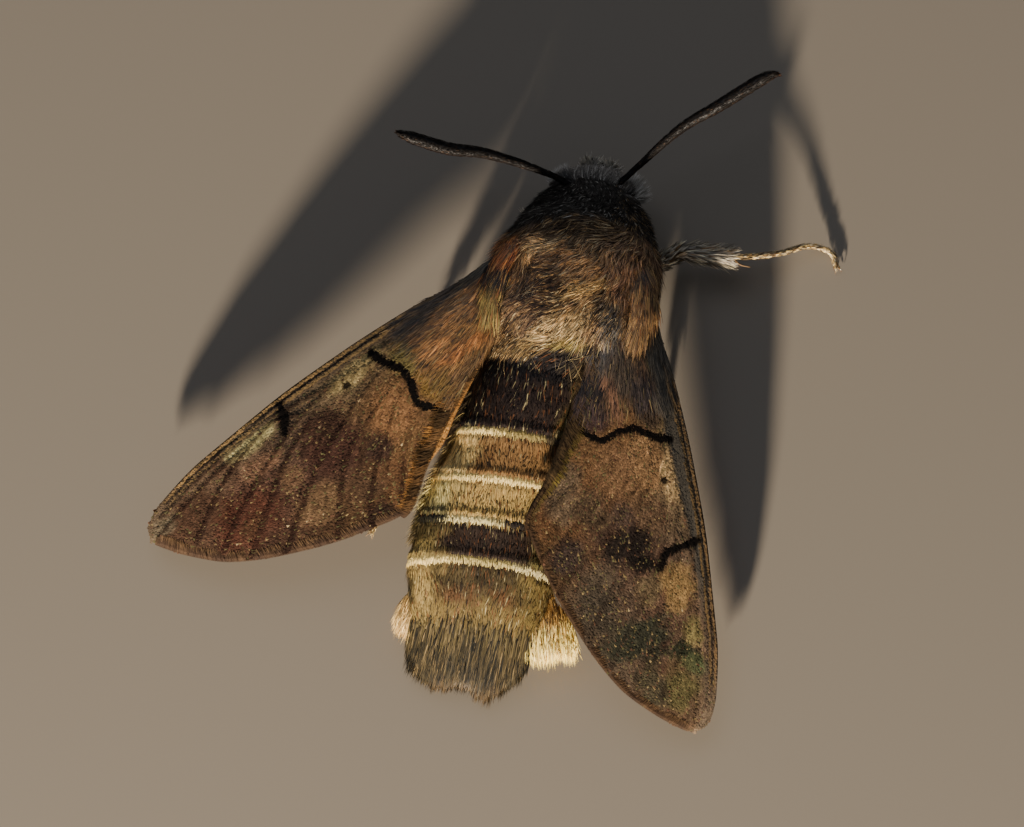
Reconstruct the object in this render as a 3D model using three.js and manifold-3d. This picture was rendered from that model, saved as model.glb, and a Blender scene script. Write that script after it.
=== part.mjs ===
// Hummingbird hawk moth (Macroglossum stellatarum) at rest, life size.
// Millimetres, +Z up, +Y towards the head, +X to the moth's right side, floor at z = 0.
// The body is cut across into head, collar, thorax, seven abdomen rings and a tail fan.
// Wings, legs, feelers, eyes and mouthparts are solids of their own.
import * as THREE from 'three';
import { mergeVertices } from 'three/addons/utils/BufferGeometryUtils.js';
import Module from 'manifold-3d';

const wasm = await Module();
wasm.setup();

// ---------------------------------------------------------------- driving dimensions
const GAP = 0.1;                 // parting gap between pieces that touch
const WELD = 1e-4;               // vertices closer than this are one
const SIDES = { left: -1, right: 1 };

// The furred outline of the trunk: y along it, x of its middle line, half width, top, bottom,
// and how far its cross-section is turned about Z, in degrees, where the abdomen bends.
const TRUNK = [
  { y: 4.9, x: 0.15, half: 2.05, top: 5.1, bottom: 2.2, turn: 0 },
  { y: 3.7, x: 0.15, half: 2.85, top: 6.0, bottom: 1.8, turn: 0 },
  { y: 2.2, x: 0.15, half: 3.6, top: 6.7, bottom: 1.5, turn: 0 },
  { y: 0.2, x: 0.0, half: 4.4, top: 7.1, bottom: 1.3, turn: 0 },
  { y: -2.0, x: -0.1, half: 4.1, top: 6.9, bottom: 1.3, turn: 0 },
  { y: -4.3, x: -0.35, half: 3.3, top: 6.1, bottom: 1.3, turn: 0 },
  { y: -6.4, x: -0.8, half: 3.1, top: 5.7, bottom: 1.0, turn: 2 },
  { y: -8.8, x: -1.2, half: 3.3, top: 5.4, bottom: 0.5, turn: 4 },
  { y: -12.0, x: -1.4, half: 3.6, top: 4.9, bottom: 0.0, turn: 6 },
  { y: -15.0, x: -1.3, half: 3.75, top: 4.4, bottom: -0.2, turn: 6 },
  { y: -18.0, x: -1.0, half: 3.55, top: 3.4, bottom: -0.25, turn: 6 },
  { y: -19.6, x: -0.9, half: 3.2, top: 2.6, bottom: -0.2, turn: 6 },
];
const COLLAR_FRONT = 4.55;
const THORAX_FRONT = 2.3;
const ABDOMEN_CUTS = [-4.3, -6.4, -8.8, -11.5, -13.5, -16.1, -18.2, -19.5];
const RING_BULGE = 0.03;         // how far a ring swells between its cuts, of its half width
const COLLAR_LIP = 1.04;         // the collar stands this much proud of the trunk's outline
const TRUNK_SIDES = 22;
const LIMB_CAP = 0.04;            // part of a limb's length that its blunt end takes

const HEAD = { at: [0.1, 4.15, 3.55], half: [2.15, 1.75, 1.9] };
const EYE = { out: 1.3, y: 4.5, z: 3.3, half: [0.95, 1.12, 1.2] };
const PALP = {
  out: 0.5,                      // x of its root, each side of the middle
  radii: [0.3, 0.5, 0.5, 0.25],
  rise: [[1, 4.7, 1.75], [1.1, 5.5, 2.2], [1.1, 5.95, 3.1], [0.9, 5.85, 4.0]],  // times out, y, z
  flat: 0.8,
};
const COIL = { y: 5.2, z: 2.15, radius: 1.0, hole: 0.2, thick: 0.42 };

const FEELER = {
  left: [[-1.0, 4.4, 4.6], [-2.3, 4.7, 5.1], [-5.8, 4.72, 6.6], [-7.6, 4.4, 7.25], [-9.9, 4.4, 8.1]],
  right: [[1.0, 5.0, 4.6], [1.75, 5.95, 5.1], [3.55, 8.25, 6.25], [5.15, 9.6, 7.1], [7.5, 11.6, 8.1]],
  hook: [0.35, 0, 0.3],          // from the last point out to the tip
  radii: [0.25, 0.25, 0.29, 0.34, 0.4, 0.25],   // from the root, through the club, to the tip
};

const WING_THICK = 0.5;
const TIP_CROWDING = 1.7;        // how much closer a wing's stations lie towards its tip
const FOREWING = {
  length: 22.85,
  lead: [[0, 0], [2.2, -0.1], [5.4, -0.66], [9.6, -1.15], [14.0, -1.4], [18.2, -1.38], [21.0, -1.05],
    [22.4, -0.5], [22.85, 0.4]],
  trail: [[0, 1.7], [1.6, 2.6], [4.3, 3.8], [7.3, 4.95], [10.0, 6.35], [12.2, 7.6], [14.2, 7.2],
    [17.6, 5.75], [20.3, 4.05], [21.6, 2.6], [22.5, 1.2], [22.85, 0.4]],
  left: { base: [-3.95, 0.3, 4.9], sweep: 38.6, droop: 3.4, rise: 0.11, bow: 0.35 },
  right: { base: [3.75, 0.7, 4.9], sweep: 19.2, droop: 3.4, rise: 0.225, bow: 0.3 },
};
const HINDWING = {
  length: 12.4,
  lead: [[0, 0], [3.0, -0.5], [7.0, -0.9], [10.2, -0.7], [11.9, 0.1], [12.4, 1.3]],
  trail: [[0, 1.2], [2.6, 2.4], [5.6, 3.9], [7.6, 5.0], [9.2, 5.3], [10.8, 4.4], [12.0, 2.7], [12.4, 1.3]],
  left: { base: [-3.5, -1.2, 4.05], sweep: 41.0, droop: 1.6, rise: 0.1, bow: 0.2 },
  right: { base: [3.5, -1.2, 4.05], sweep: 20.0, droop: 1.6, rise: 0.17, bow: 0.2 },
};

const TEGULA = { out: 3.55, y: -1.0, z: 5.75, half: [0.95, 2.6, 0.55], turn: 14, tip: 7 };
const FLANK = {
  left: { out: 2.95, y: -18.1, z: 1.4, half: [0.95, 1.7, 0.75], turn: 8 },
  right: { out: 3.85, y: -17.7, z: 1.45, half: [1.35, 1.75, 0.8], turn: 22 },
};
const FAN = {
  front: -19.6,
  rear: -21.55,
  half: 3.15,
  tipHalf: 2.75,
  lobe: { reach: 0.6, at: 0.2, width: 0.42 },    // a bulge of the rear edge, in half widths
  corner: 0.3,                   // part of its length lost at the corners
  top: 2.5,
  tipTop: 1.1,
  edge: 0.55,                    // part of its height lost at the sides
};

// Each leg: hip, knee, ankle, then the points of its foot, the last ones lying on the floor.
const LEGS = {
  fore_left: [[-1.7, 1.9, 1.2], [-2.9, 3.3, 1.5], [-3.55, 1.1, 1.0], [-3.6, -0.9, 0.5], [-3.5, -2.9, 0.24]],
  fore_right: [[2.3, 0.9, 1.1], [4.85, 2.85, 2.35], [7.6, 3.25, 2.1], [9.7, 4.1, 1.35], [11.35, 5.05, 0.6],
    [12.45, 5.0, 0.24], [12.9, 4.35, 0.22]],
  middle_left: [[-1.6, 0.3, 1.4], [-3.9, -1.5, 2.3], [-6.1, -4.6, 1.15], [-7.1, -6.4, 0.5],
    [-7.8, -8.2, 0.24]],
  middle_right: [[1.6, 0.3, 1.4], [3.9, -1.5, 2.3], [5.2, -5.2, 1.15], [5.9, -7.3, 0.5], [6.6, -9.4, 0.24]],
  hind_left: [[-1.4, -2.4, 1.4], [-3.6, -4.9, 1.9], [-5.9, -9.7, 1.0], [-6.7, -12.1, 0.5],
    [-7.3, -14.5, 0.24]],
  hind_right: [[1.4, -2.4, 1.4], [3.3, -4.9, 1.9], [3.9, -9.9, 1.0], [4.5, -12.3, 0.5], [5.1, -14.7, 0.24]],
};
const LEG_RINGS = { femur: 8, tibia: 8, tarsus: 12 };
const LEG_RADII = { femur: [0.42, 0.5, 0.34], tibia: [0.32, 0.48, 0.4], tarsus: [0.27, 0.25, 0.25] };

const COLOURS = {
  head: '#4c4843',
  collar: '#1c1a17',
  thorax: '#7d643d',
  abdomen: '#8f7848',
  waist: '#2e2620',
  fan: '#4a4028',
  forewing: '#6f4a2c',
  hindwing: '#c9772c',
  flank: '#e8d4a2',
  leg: '#9a8f7d',
  feeler: '#2a211b',
  eye: '#1a1512',
  palp: '#b5ada0',
  tongue: '#3a2a1c',
};
const WAIST_RINGS = 2;           // rings of the abdomen that are blackish

// ---------------------------------------------------------------- solids
/** Closed geometry to manifold solid, with shared vertices merged and faces of no area dropped. */
function solidOf(geometry) {
  const bare = geometry.clone();
  bare.deleteAttribute('normal');
  bare.deleteAttribute('uv');
  const merged = mergeVertices(bare, WELD);
  const index = merged.index.array;
  const kept = [];
  for (let i = 0; i < index.length; i += 3) {
    const [a, b, c] = [index[i], index[i + 1], index[i + 2]];
    if (a !== b && b !== c && c !== a) {
      kept.push(a, b, c);
    }
  }
  return new wasm.Manifold(new wasm.Mesh({
    numProp: 3,
    vertProperties: new Float32Array(merged.attributes.position.array),
    triVerts: new Uint32Array(kept),
  }));
}

/** The body left of a solid once others are taken away: its largest piece, as a geometry. */
function cut(geometry, ...others) {
  let solid = solidOf(geometry);
  for (const other of others) {
    solid = solid.subtract(solidOf(other));
  }
  const pieces = solid.decompose();
  pieces.sort((a, b) => b.volume() - a.volume());
  const mesh = pieces[0].getMesh();
  const result = new THREE.BufferGeometry();
  result.setAttribute('position', new THREE.BufferAttribute(new Float32Array(mesh.vertProperties), 3));
  result.setIndex(new THREE.BufferAttribute(new Uint32Array(mesh.triVerts), 1));
  result.computeVertexNormals();
  return result;
}

/** Move each vertex of a geometry to place(x, y, z). */
function reshape(geometry, place) {
  const position = geometry.attributes.position;
  for (let i = 0; i < position.count; i += 1) {
    const [x, y, z] = place(position.getX(i), position.getY(i), position.getZ(i));
    position.setXYZ(i, x, y, z);
  }
  geometry.computeVertexNormals();
  return geometry;
}

/** Value of a smooth curve through [at, value] pairs, whichever way the pairs run. */
function smoothAt(pairs, at) {
  const run = pairs[0][0] < pairs[pairs.length - 1][0] ? pairs : [...pairs].reverse();
  const inside = THREE.MathUtils.clamp(at, run[0][0], run[run.length - 1][0]);
  let k = 0;
  while (k < run.length - 2 && inside > run[k + 1][0]) {
    k += 1;
  }
  const slope = (i) => {
    const a = run[Math.max(i - 1, 0)];
    const b = run[Math.min(i + 1, run.length - 1)];
    return (b[1] - a[1]) / (b[0] - a[0]);
  };
  const [x0, y0] = run[k];
  const [x1, y1] = run[k + 1];
  const step = x1 - x0;
  const t = (inside - x0) / step;
  const rise = t * t * (3 - 2 * t);
  const leave = t * (1 - t) * (1 - t) * step * slope(k);
  const arrive = t * t * (t - 1) * step * slope(k + 1);
  return y0 + (y1 - y0) * rise + leave + arrive;
}

const trunkValue = (key, y) => smoothAt(TRUNK.map((station) => [station.y, station[key]]), y);

/** A slice of the trunk from y = front back to y = rear, grown by a margin all round. */
function trunkSlice(front, rear, { swell = 0, lip = 1, margin = 0, rings = 3 } = {}) {
  const profile = [new THREE.Vector2(0, front + margin)];
  for (let i = 0; i <= rings; i += 1) {
    profile.push(new THREE.Vector2(1, THREE.MathUtils.lerp(front + margin, rear - margin, i / rings)));
  }
  profile.push(new THREE.Vector2(0, rear - margin));
  profile.reverse();
  const lathe = new THREE.LatheGeometry(profile, TRUNK_SIDES);
  return reshape(lathe, (x, y, z) => {
    const t = THREE.MathUtils.clamp((front - y) / (front - rear), 0, 1);
    const scale = lip * (1 + swell * Math.sin(Math.PI * t));
    const half = trunkValue('half', y) * scale + margin;
    const top = trunkValue('top', y);
    const bottom = trunkValue('bottom', y);
    const middle = (top + bottom) / 2;
    const tall = ((top - bottom) / 2) * scale + margin;
    const bend = Math.tan(THREE.MathUtils.degToRad(trunkValue('turn', y)));
    return [trunkValue('x', y) + half * x, y + bend * half * x, Math.max(middle + tall * z, 0)];
  });
}

/** An ellipsoid of the given half sizes. */
function ellipsoid([a, b, c], at, { margin = 0, around = 16, rings = 10 } = {}) {
  const ball = new THREE.SphereGeometry(1, around, rings);
  const [x0, y0, z0] = at;
  return reshape(ball, (x, y, z) => [x0 + (a + margin) * x, y0 + (b + margin) * y, z0 + (c + margin) * z]);
}

/** A round limb along a curve through points, its radius a smooth curve through radii, ends rounded. */
function limb(points, radii, { sides = 8, rings = 10, margin = 0, flat = 1 } = {}) {
  const path = new THREE.CatmullRomCurve3(points.map((p) => new THREE.Vector3(...p)), false, 'centripetal');
  const frames = path.computeFrenetFrames(rings);
  const pairs = radii.map((radius, i) => [i / (radii.length - 1), radius]);
  const profile = [];
  for (let i = 0; i <= rings; i += 1) {
    const cap = i === 0 || i === rings ? 0 : 1;
    profile.push(new THREE.Vector2(cap * (smoothAt(pairs, i / rings) + margin), i));
  }
  const lathe = new THREE.LatheGeometry(profile, sides);
  return reshape(lathe, (x, y, z) => {
    const i = Math.round(y);
    const inner = THREE.MathUtils.lerp(LIMB_CAP, 1 - LIMB_CAP, (i - 1) / (rings - 2));
    const at = path.getPointAt(THREE.MathUtils.clamp(inner, i === rings ? 1 : 0, i === 0 ? 0 : 1));
    const on = at.addScaledVector(frames.normals[i], x * flat).addScaledVector(frames.binormals[i], -z);
    return [on.x, on.y, Math.max(on.z, 0)];
  });
}

/** A wing: a plate between its leading and trailing edges, drooping to the tip and rising inwards. */
function wing(shape, side, { margin = 0, along = 16, across = 6 } = {}) {
  const { base, sweep, droop, rise, bow } = shape[side];
  const sign = SIDES[side];
  const angle = THREE.MathUtils.degToRad(sweep);
  const outward = [Math.sin(angle) * sign, -Math.cos(angle)];
  const inward = [-Math.cos(angle) * sign, -Math.sin(angle)];
  const box = new THREE.BoxGeometry(1, 1, 1, along, across, 1);
  return reshape(box, (x, y, z) => {
    const u = x + 0.5;
    const v = y + 0.5;
    const a = shape.length * (1 - (1 - u) ** TIP_CROWDING);
    const lead = smoothAt(shape.lead, a) - margin;
    const trail = smoothAt(shape.trail, a) + margin;
    const b = THREE.MathUtils.lerp(lead, trail, sign < 0 ? v : 1 - v);
    const reach = a / shape.length;
    const camber = bow * Math.sin(Math.PI * v) * Math.sin(Math.PI * Math.sqrt(reach));
    const height = base[2] - droop * reach ** 1.15 + rise * (b - smoothAt(shape.lead, a)) + camber;
    return [
      base[0] + outward[0] * a + inward[0] * b,
      base[1] + outward[1] * a + inward[1] * b,
      height + z * (WING_THICK + 2 * margin),
    ];
  });
}

/** A flattened tuft of scales: an ellipsoid turned in plan, in degrees, and tipped. */
function tuft(half, at, turn, tip, { margin = 0 } = {}) {
  const turned = new THREE.Euler(THREE.MathUtils.degToRad(tip), 0, THREE.MathUtils.degToRad(turn), 'ZXY');
  const shape = ellipsoid(half, [0, 0, 0], { margin, around: 12, rings: 8 });
  return reshape(shape, (x, y, z) => {
    const p = new THREE.Vector3(x, y, z).applyEuler(turned);
    return [p.x + at[0], p.y + at[1], Math.max(p.z + at[2], 0)];
  });
}

/** The tail fan: a flat brush of long scales with a rounded, lobed end. */
function tailFan({ margin = 0 } = {}) {
  const box = new THREE.BoxGeometry(2, 1, 1, 12, 4, 2);
  const middle = trunkValue('x', FAN.front);
  const bend = Math.tan(THREE.MathUtils.degToRad(trunkValue('turn', FAN.front)));
  return reshape(box, (x, y, z) => {
    const t = 0.5 - y;
    const u = x;
    const lobe = FAN.lobe.reach * Math.exp(-(((u - FAN.lobe.at) / FAN.lobe.width) ** 2));
    const rear = FAN.front + (FAN.rear - FAN.front) * (1 - FAN.corner * u ** 4) - lobe;
    const half = THREE.MathUtils.lerp(FAN.half, FAN.tipHalf, t * t) + margin;
    const top = THREE.MathUtils.lerp(FAN.top, FAN.tipTop, t) * (1 - FAN.edge * u ** 4) + margin;
    const along = THREE.MathUtils.lerp(FAN.front - GAP, rear, t);
    return [middle + half * u, along + bend * half * u, (z + 0.5) * top];
  });
}

// ---------------------------------------------------------------- the moth
const moth = new THREE.Group();
moth.name = 'hawk_moth';

/** Add a named piece with its own matt or glossy material. */
function add(name, geometry, colour, roughness = 0.85) {
  const material = new THREE.MeshStandardMaterial({ color: colour, roughness, metalness: 0 });
  const mesh = new THREE.Mesh(geometry, material);
  mesh.name = name;
  moth.add(mesh);
}

const collarShape = (margin) => trunkSlice(COLLAR_FRONT, THORAX_FRONT + GAP, { lip: COLLAR_LIP, margin });
const thoraxShape = (margin) => trunkSlice(THORAX_FRONT, ABDOMEN_CUTS[0] + GAP, { margin, rings: 8 });
const abdomenShape = (margin) => trunkSlice(ABDOMEN_CUTS[0], ABDOMEN_CUTS[ABDOMEN_CUTS.length - 1], {
  swell: RING_BULGE, margin, rings: 20,
});
const eyeShape = (side, margin) => ellipsoid(EYE.half, [SIDES[side] * EYE.out, EYE.y, EYE.z], { margin });
const palpShape = (side, margin) => {
  const points = PALP.rise.map(([out, y, z]) => [SIDES[side] * PALP.out * out, y, z]);
  return limb(points, PALP.radii, { margin, flat: PALP.flat, rings: 8 });
};
const sideNames = Object.keys(SIDES);
const headShape = (margin) => ellipsoid(HEAD.half, HEAD.at, { margin, around: 20, rings: 10 });
const wholeTrunk = [thoraxShape(GAP), collarShape(GAP)];

// Head, with the eyes and palps let into it.
add('head', cut(headShape(0), collarShape(GAP), ...sideNames.map((side) => eyeShape(side, GAP)),
  ...sideNames.map((side) => palpShape(side, GAP))), COLOURS.head);
for (const side of sideNames) {
  add(`eye_${side}`, cut(eyeShape(side, 0), collarShape(GAP)), COLOURS.eye, 0.25);
  add(`palp_${side}`, palpShape(side, 0), COLOURS.palp);
}

// The coiled tongue, a flat watch spring held between the palps.
const coilProfile = [[COIL.hole, -1], [COIL.radius, -1], [COIL.radius, 1], [COIL.hole, 1], [COIL.hole, -1]];
const coilRing = new THREE.LatheGeometry(
  coilProfile.map(([r, half]) => new THREE.Vector2(r, (half * COIL.thick) / 2)), 20);
const coil = reshape(coilRing, (x, y, z) => [y, COIL.y + z, COIL.z + x]);
const besideCoil = sideNames.map((side) => palpShape(side, GAP / 2));
add('proboscis', cut(coil, headShape(GAP / 2), ...besideCoil), COLOURS.tongue, 0.5);

add('collar', collarShape(0), COLOURS.collar);
add('thorax', thoraxShape(0), COLOURS.thorax);

// Feelers: thin at the root, widest near the tip, ending in a small hook.
for (const side of sideNames) {
  const points = FEELER[side];
  const [[x, y, z]] = points.slice(-1);
  const [out, ahead, up] = FEELER.hook;
  const feeler = limb([...points, [x + SIDES[side] * out, y + ahead, z + up]], FEELER.radii, { rings: 16 });
  add(`antenna_${side}`, cut(feeler, headShape(GAP), collarShape(GAP)), COLOURS.feeler, 0.7);
}

// The abdomen's rings, from the waist back.
for (let i = 0; i + 1 < ABDOMEN_CUTS.length; i += 1) {
  const ring = trunkSlice(ABDOMEN_CUTS[i], ABDOMEN_CUTS[i + 1] + GAP, { swell: RING_BULGE });
  add(`abdomen_${i + 1}`, ring, i < WAIST_RINGS ? COLOURS.waist : COLOURS.abdomen);
}
add('tail_fan', tailFan(), COLOURS.fan);

for (const side of sideNames) {
  const sign = SIDES[side];

  // Flank tuft of cream scales beside the last rings.
  const brush = FLANK[side];
  const flankAt = [trunkValue('x', brush.y) + sign * brush.out, brush.y, brush.z];
  const flank = tuft(brush.half, flankAt, brush.turn * sign, 0);
  add(`flank_tuft_${side}`, cut(flank, abdomenShape(GAP), tailFan({ margin: GAP })), COLOURS.flank);

  // Wings, cut clear of the thorax that their roots go into.
  const hind = wing(HINDWING, side, { along: 12 });
  const fore = wing(FOREWING, side);
  add(`forewing_${side}`, cut(fore, ...wholeTrunk, abdomenShape(GAP)), COLOURS.forewing, 0.8);
  add(`hindwing_${side}`, cut(hind, ...wholeTrunk, abdomenShape(GAP), wing(FOREWING, side, { margin: GAP })),
    COLOURS.hindwing, 0.8);

  // The tegula, a pad of long scales over the wing's root.
  const tegulaAt = [sign * TEGULA.out, TEGULA.y, TEGULA.z];
  const pad = tuft(TEGULA.half, tegulaAt, TEGULA.turn * sign, TEGULA.tip);
  add(`tegula_${side}`, cut(pad, ...wholeTrunk, wing(FOREWING, side, { margin: GAP })), COLOURS.thorax);
}

// Legs in three lengths: thigh, shin and foot.
for (const [leg, [hip, knee, ankle, ...foot]] of Object.entries(LEGS)) {
  const towards = (from, to, t) => from.map((value, i) => THREE.MathUtils.lerp(value, to[i], t));
  const lengths = {
    femur: [hip, towards(hip, knee, 0.5), knee],
    tibia: [towards(knee, ankle, 0.02), towards(knee, ankle, 0.5), ankle],
    tarsus: [towards(ankle, foot[0], 0.02), ...foot],
  };
  let carriers = wholeTrunk;
  for (const [part, points] of Object.entries(lengths)) {
    const form = { rings: LEG_RINGS[part] };
    add(`${part}_${leg}`, cut(limb(points, LEG_RADII[part], form), ...carriers), COLOURS.leg);
    carriers = [limb(points, LEG_RADII[part], { ...form, margin: GAP })];
  }
}

// The origin sits on the floor under the middle of the moth's box.
const box = new THREE.Box3().setFromObject(moth);
const middle = box.getCenter(new THREE.Vector3());
moth.position.set(-middle.x, -middle.y, -box.min.z);

export default moth;
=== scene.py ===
"""A hummingbird hawk moth at rest, life size: its skin, scales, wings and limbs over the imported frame."""
import logging
import math
from collections.abc import Callable
from dataclasses import dataclass, fields
from enum import Enum
from functools import partial

import bpy
import numpy as np
from bpy.types import ID, Material, Mesh, Node, NodeSocket, NodeTree, Object
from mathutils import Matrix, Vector
from numpy.random import Generator, default_rng


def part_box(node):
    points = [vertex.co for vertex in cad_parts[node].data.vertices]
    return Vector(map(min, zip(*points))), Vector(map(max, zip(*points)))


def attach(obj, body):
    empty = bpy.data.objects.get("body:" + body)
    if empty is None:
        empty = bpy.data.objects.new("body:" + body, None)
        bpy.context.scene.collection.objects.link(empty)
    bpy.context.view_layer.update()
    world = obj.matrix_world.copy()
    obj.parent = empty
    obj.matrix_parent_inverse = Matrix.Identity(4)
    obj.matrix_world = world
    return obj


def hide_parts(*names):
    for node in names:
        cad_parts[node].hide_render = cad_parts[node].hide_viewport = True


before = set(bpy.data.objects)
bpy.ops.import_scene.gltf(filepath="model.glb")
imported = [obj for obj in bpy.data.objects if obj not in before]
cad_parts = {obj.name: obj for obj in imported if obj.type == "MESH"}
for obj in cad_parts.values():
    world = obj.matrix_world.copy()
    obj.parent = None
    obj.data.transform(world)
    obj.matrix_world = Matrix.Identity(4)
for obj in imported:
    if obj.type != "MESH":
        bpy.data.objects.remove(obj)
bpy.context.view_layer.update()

BODY = "root"
MM = 0.001
THORAX_FRONT = 2.3       # how far the thorax reaches in front of the moth's own origin, in mm
PATCH = 0.003            # each tuft's share of its piece's unwrap
HAIR_SIDES = 3           # how many sides one hair has
log = logging.getLogger("hawk_moth")

Array = np.ndarray


# ---- colours and numbers

def linear(code: str) -> Array:
    """Turns an sRGB hex colour to linear light."""
    channels = np.array([int(code[i:i + 2], 16) for i in (0, 2, 4)]) / 255
    return np.where(channels <= 0.04045, channels / 12.92, ((channels + 0.055) / 1.055) ** 2.4)


def step(start: float, end: float, at: Array) -> Array:
    """Goes smoothly from 0 at start to 1 at end."""
    t = np.clip((np.asarray(at, float) - start) / (end - start), 0, 1)
    return t * t * (3 - 2 * t)


def mix(first: Array | str, second: Array | str, share: Array | float) -> Array:
    """Mixes two colours, rows of colours or hex codes by the second one's share."""
    first, second = (linear(each) if isinstance(each, str) else each for each in (first, second))
    share = np.asarray(share, float)[..., None]
    return first * (1 - share) + second * share


def beside(*columns: Array | float) -> Array:
    """Sets columns side by side; a single number fills its column."""
    return np.column_stack(np.broadcast_arrays(*columns))


def crossings(rows: Array, columns: Array) -> tuple[Array, Array]:
    """Both coordinates of every crossing of a grid, row after row."""
    first, second = np.meshgrid(rows, columns, indexing="ij")
    return first.ravel(), second.ravel()


def unit(rows: Array) -> Array:
    """Scales each row to length 1."""
    return rows / np.maximum(np.linalg.norm(rows, axis=-1, keepdims=True), 1e-12)


def ripple(points: Array, span: float, seed: int) -> Array:
    """A smooth random field of about -1 to 1.

    Args:
        points: rows of coordinates, in mm.
        span: the usual width of a swell, in mm.
        seed: picks one field of many.

    Returns:
        One value for each row.
    """
    draw = default_rng(seed)
    total = np.zeros(len(points))
    for _ in range(9):
        way = unit(draw.normal(size=points.shape[1]))
        wave = span * (0.7 + 1.3 * draw.random())
        total += np.sin(points @ way * math.tau / wave + draw.random() * math.tau)
    return np.clip(total / 4, -1, 1)


def smooth_rows(table: tuple, at: Array) -> Array:
    """Reads a table of stations at places between its rows, with no overshoot.

    Args:
        table: rows of (place, value, value ...), places rising or falling.
        at: the places to read.

    Returns:
        One row of values for each place.
    """
    rows = np.asarray(table, float)
    if rows[0, 0] > rows[-1, 0]:
        rows = rows[::-1]
    keys, values = rows[:, 0], rows[:, 1:]
    secants = np.diff(values, axis=0) / np.diff(keys)[:, None]
    slopes = np.zeros_like(values)
    same = secants[1:] * secants[:-1] > 0
    both = np.where(same, secants[1:] + secants[:-1], 1)
    slopes[1:-1] = np.where(same, 2 * secants[1:] * secants[:-1] / both, 0)
    slopes[0], slopes[-1] = secants[0], secants[-1]
    at = np.clip(np.asarray(at, float), keys[0], keys[-1])
    i = np.clip(np.searchsorted(keys, at) - 1, 0, len(keys) - 2)
    gap = keys[i + 1] - keys[i]
    t = ((at - keys[i]) / gap)[..., None]
    gap = gap[..., None]
    return (values[i] * (1 + 2 * t) * (1 - t) ** 2 + slopes[i] * gap * t * (1 - t) ** 2
            + values[i + 1] * t * t * (3 - 2 * t) + slopes[i + 1] * gap * t * t * (t - 1))


def read(table: tuple, at: Array) -> Array:
    """Reads the one value of a two-column table of stations."""
    return smooth_rows(table, at)[..., 0]


class Side(Enum):
    """The moth's left and right, by the sign of X."""

    LEFT = -1
    RIGHT = 1

    @property
    def word(self) -> str:
        """The side's name in lower case."""
        return self.name.lower()


# ---- meshes

def moth_origin() -> Array:
    """The moth's own origin in the frame, in mm: midway between the palps, behind the thorax's front."""
    low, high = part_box("palp_left")[0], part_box("palp_right")[1]
    return np.array([(low.x + high.x) / 2 / MM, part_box("thorax")[1].y / MM - THORAX_FRONT, 0.0])


ORIGIN = moth_origin()


def linked(name: str, data: ID) -> Object:
    """Makes an object of the data and links it to the scene."""
    made = bpy.data.objects.new(name, data)
    bpy.context.scene.collection.objects.link(made)
    return made


def new_mesh(name: str, points: Array, faces: list) -> Object:
    """Makes a smoothly shaded mesh object, linked to the scene.

    Args:
        name: the object's name.
        points: rows of X, Y and Z, in the moth's own millimetres.
        faces: the corners of each face.

    Returns:
        The new object.
    """
    mesh = bpy.data.meshes.new(name)
    mesh.from_pydata(((points + ORIGIN) * MM).tolist(), [], faces)
    mesh.polygons.foreach_set("use_smooth", [True] * len(mesh.polygons))
    mesh.update()
    return linked(name, mesh)


def set_attribute(mesh: Mesh, name: str, rows: Array) -> None:
    """Stores one number, vector or colour for each point of a mesh."""
    kinds = {1: ("FLOAT", "value"), 3: ("FLOAT_VECTOR", "vector"), 4: ("FLOAT_COLOR", "color")}
    rows = np.asarray(rows, np.float32)
    kind, key = kinds[1 if rows.ndim == 1 else rows.shape[1]]
    mesh.attributes.new(name, kind, "POINT").data.foreach_set(key, rows.ravel())


def set_tint(mesh: Mesh, colours: Array) -> None:
    """Stores a colour for each point, as the attribute that the finishes read."""
    set_attribute(mesh, "tint", np.column_stack([colours, np.ones(len(colours))]))


def ring_faces(rows: int, columns: int) -> list:
    """The faces between rings of points that follow one another."""
    faces = []
    for i in range(rows - 1):
        for j in range(columns):
            k = (j + 1) % columns
            a, b = i * columns, (i + 1) * columns
            faces.append((a + j, a + k, b + k, b + j))
    return faces


def capped_faces(rows: int, columns: int) -> list:
    """The faces of rings that a point closes at each end; both points come after the rings."""
    faces = ring_faces(rows, columns)
    front, last = rows * columns, (rows - 1) * columns
    for j in range(columns):
        k = (j + 1) % columns
        faces.append((k, j, front))
        faces.append((last + j, last + k, front + 1))
    return faces


def sweep(path: Array, radii: Array, sides: int, flat: float = 1.0) -> tuple[Array, list]:
    """A closed tube along a path.

    Args:
        path: the middle line's points, in mm.
        radii: the radius at each point.
        sides: how many sides it has.
        flat: its height over its width.

    Returns:
        The tube's points and faces.
    """
    path = np.asarray(path, float)
    ahead = unit(np.gradient(path, axis=0))
    across = unit(np.cross(ahead, [0.0, 0.0, 1.0]) + 1e-6)
    for i in range(1, len(path)):
        across[i] = unit(across[i - 1] - ahead[i] * (across[i - 1] @ ahead[i]))
    over = np.cross(across, ahead)
    around = np.arange(sides) * math.tau / sides
    circle = (np.cos(around)[None, :, None] * across[:, None]
              + flat * np.sin(around)[None, :, None] * over[:, None])
    points = path[:, None] + circle * np.asarray(radii)[:, None, None]
    faces = [face[::-1] for face in ring_faces(len(path), sides)]
    last = (len(path) - 1) * sides
    faces.append(tuple(range(sides)))
    faces.append(tuple(reversed(range(last, last + sides))))
    return points.reshape(-1, 3), faces


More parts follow.
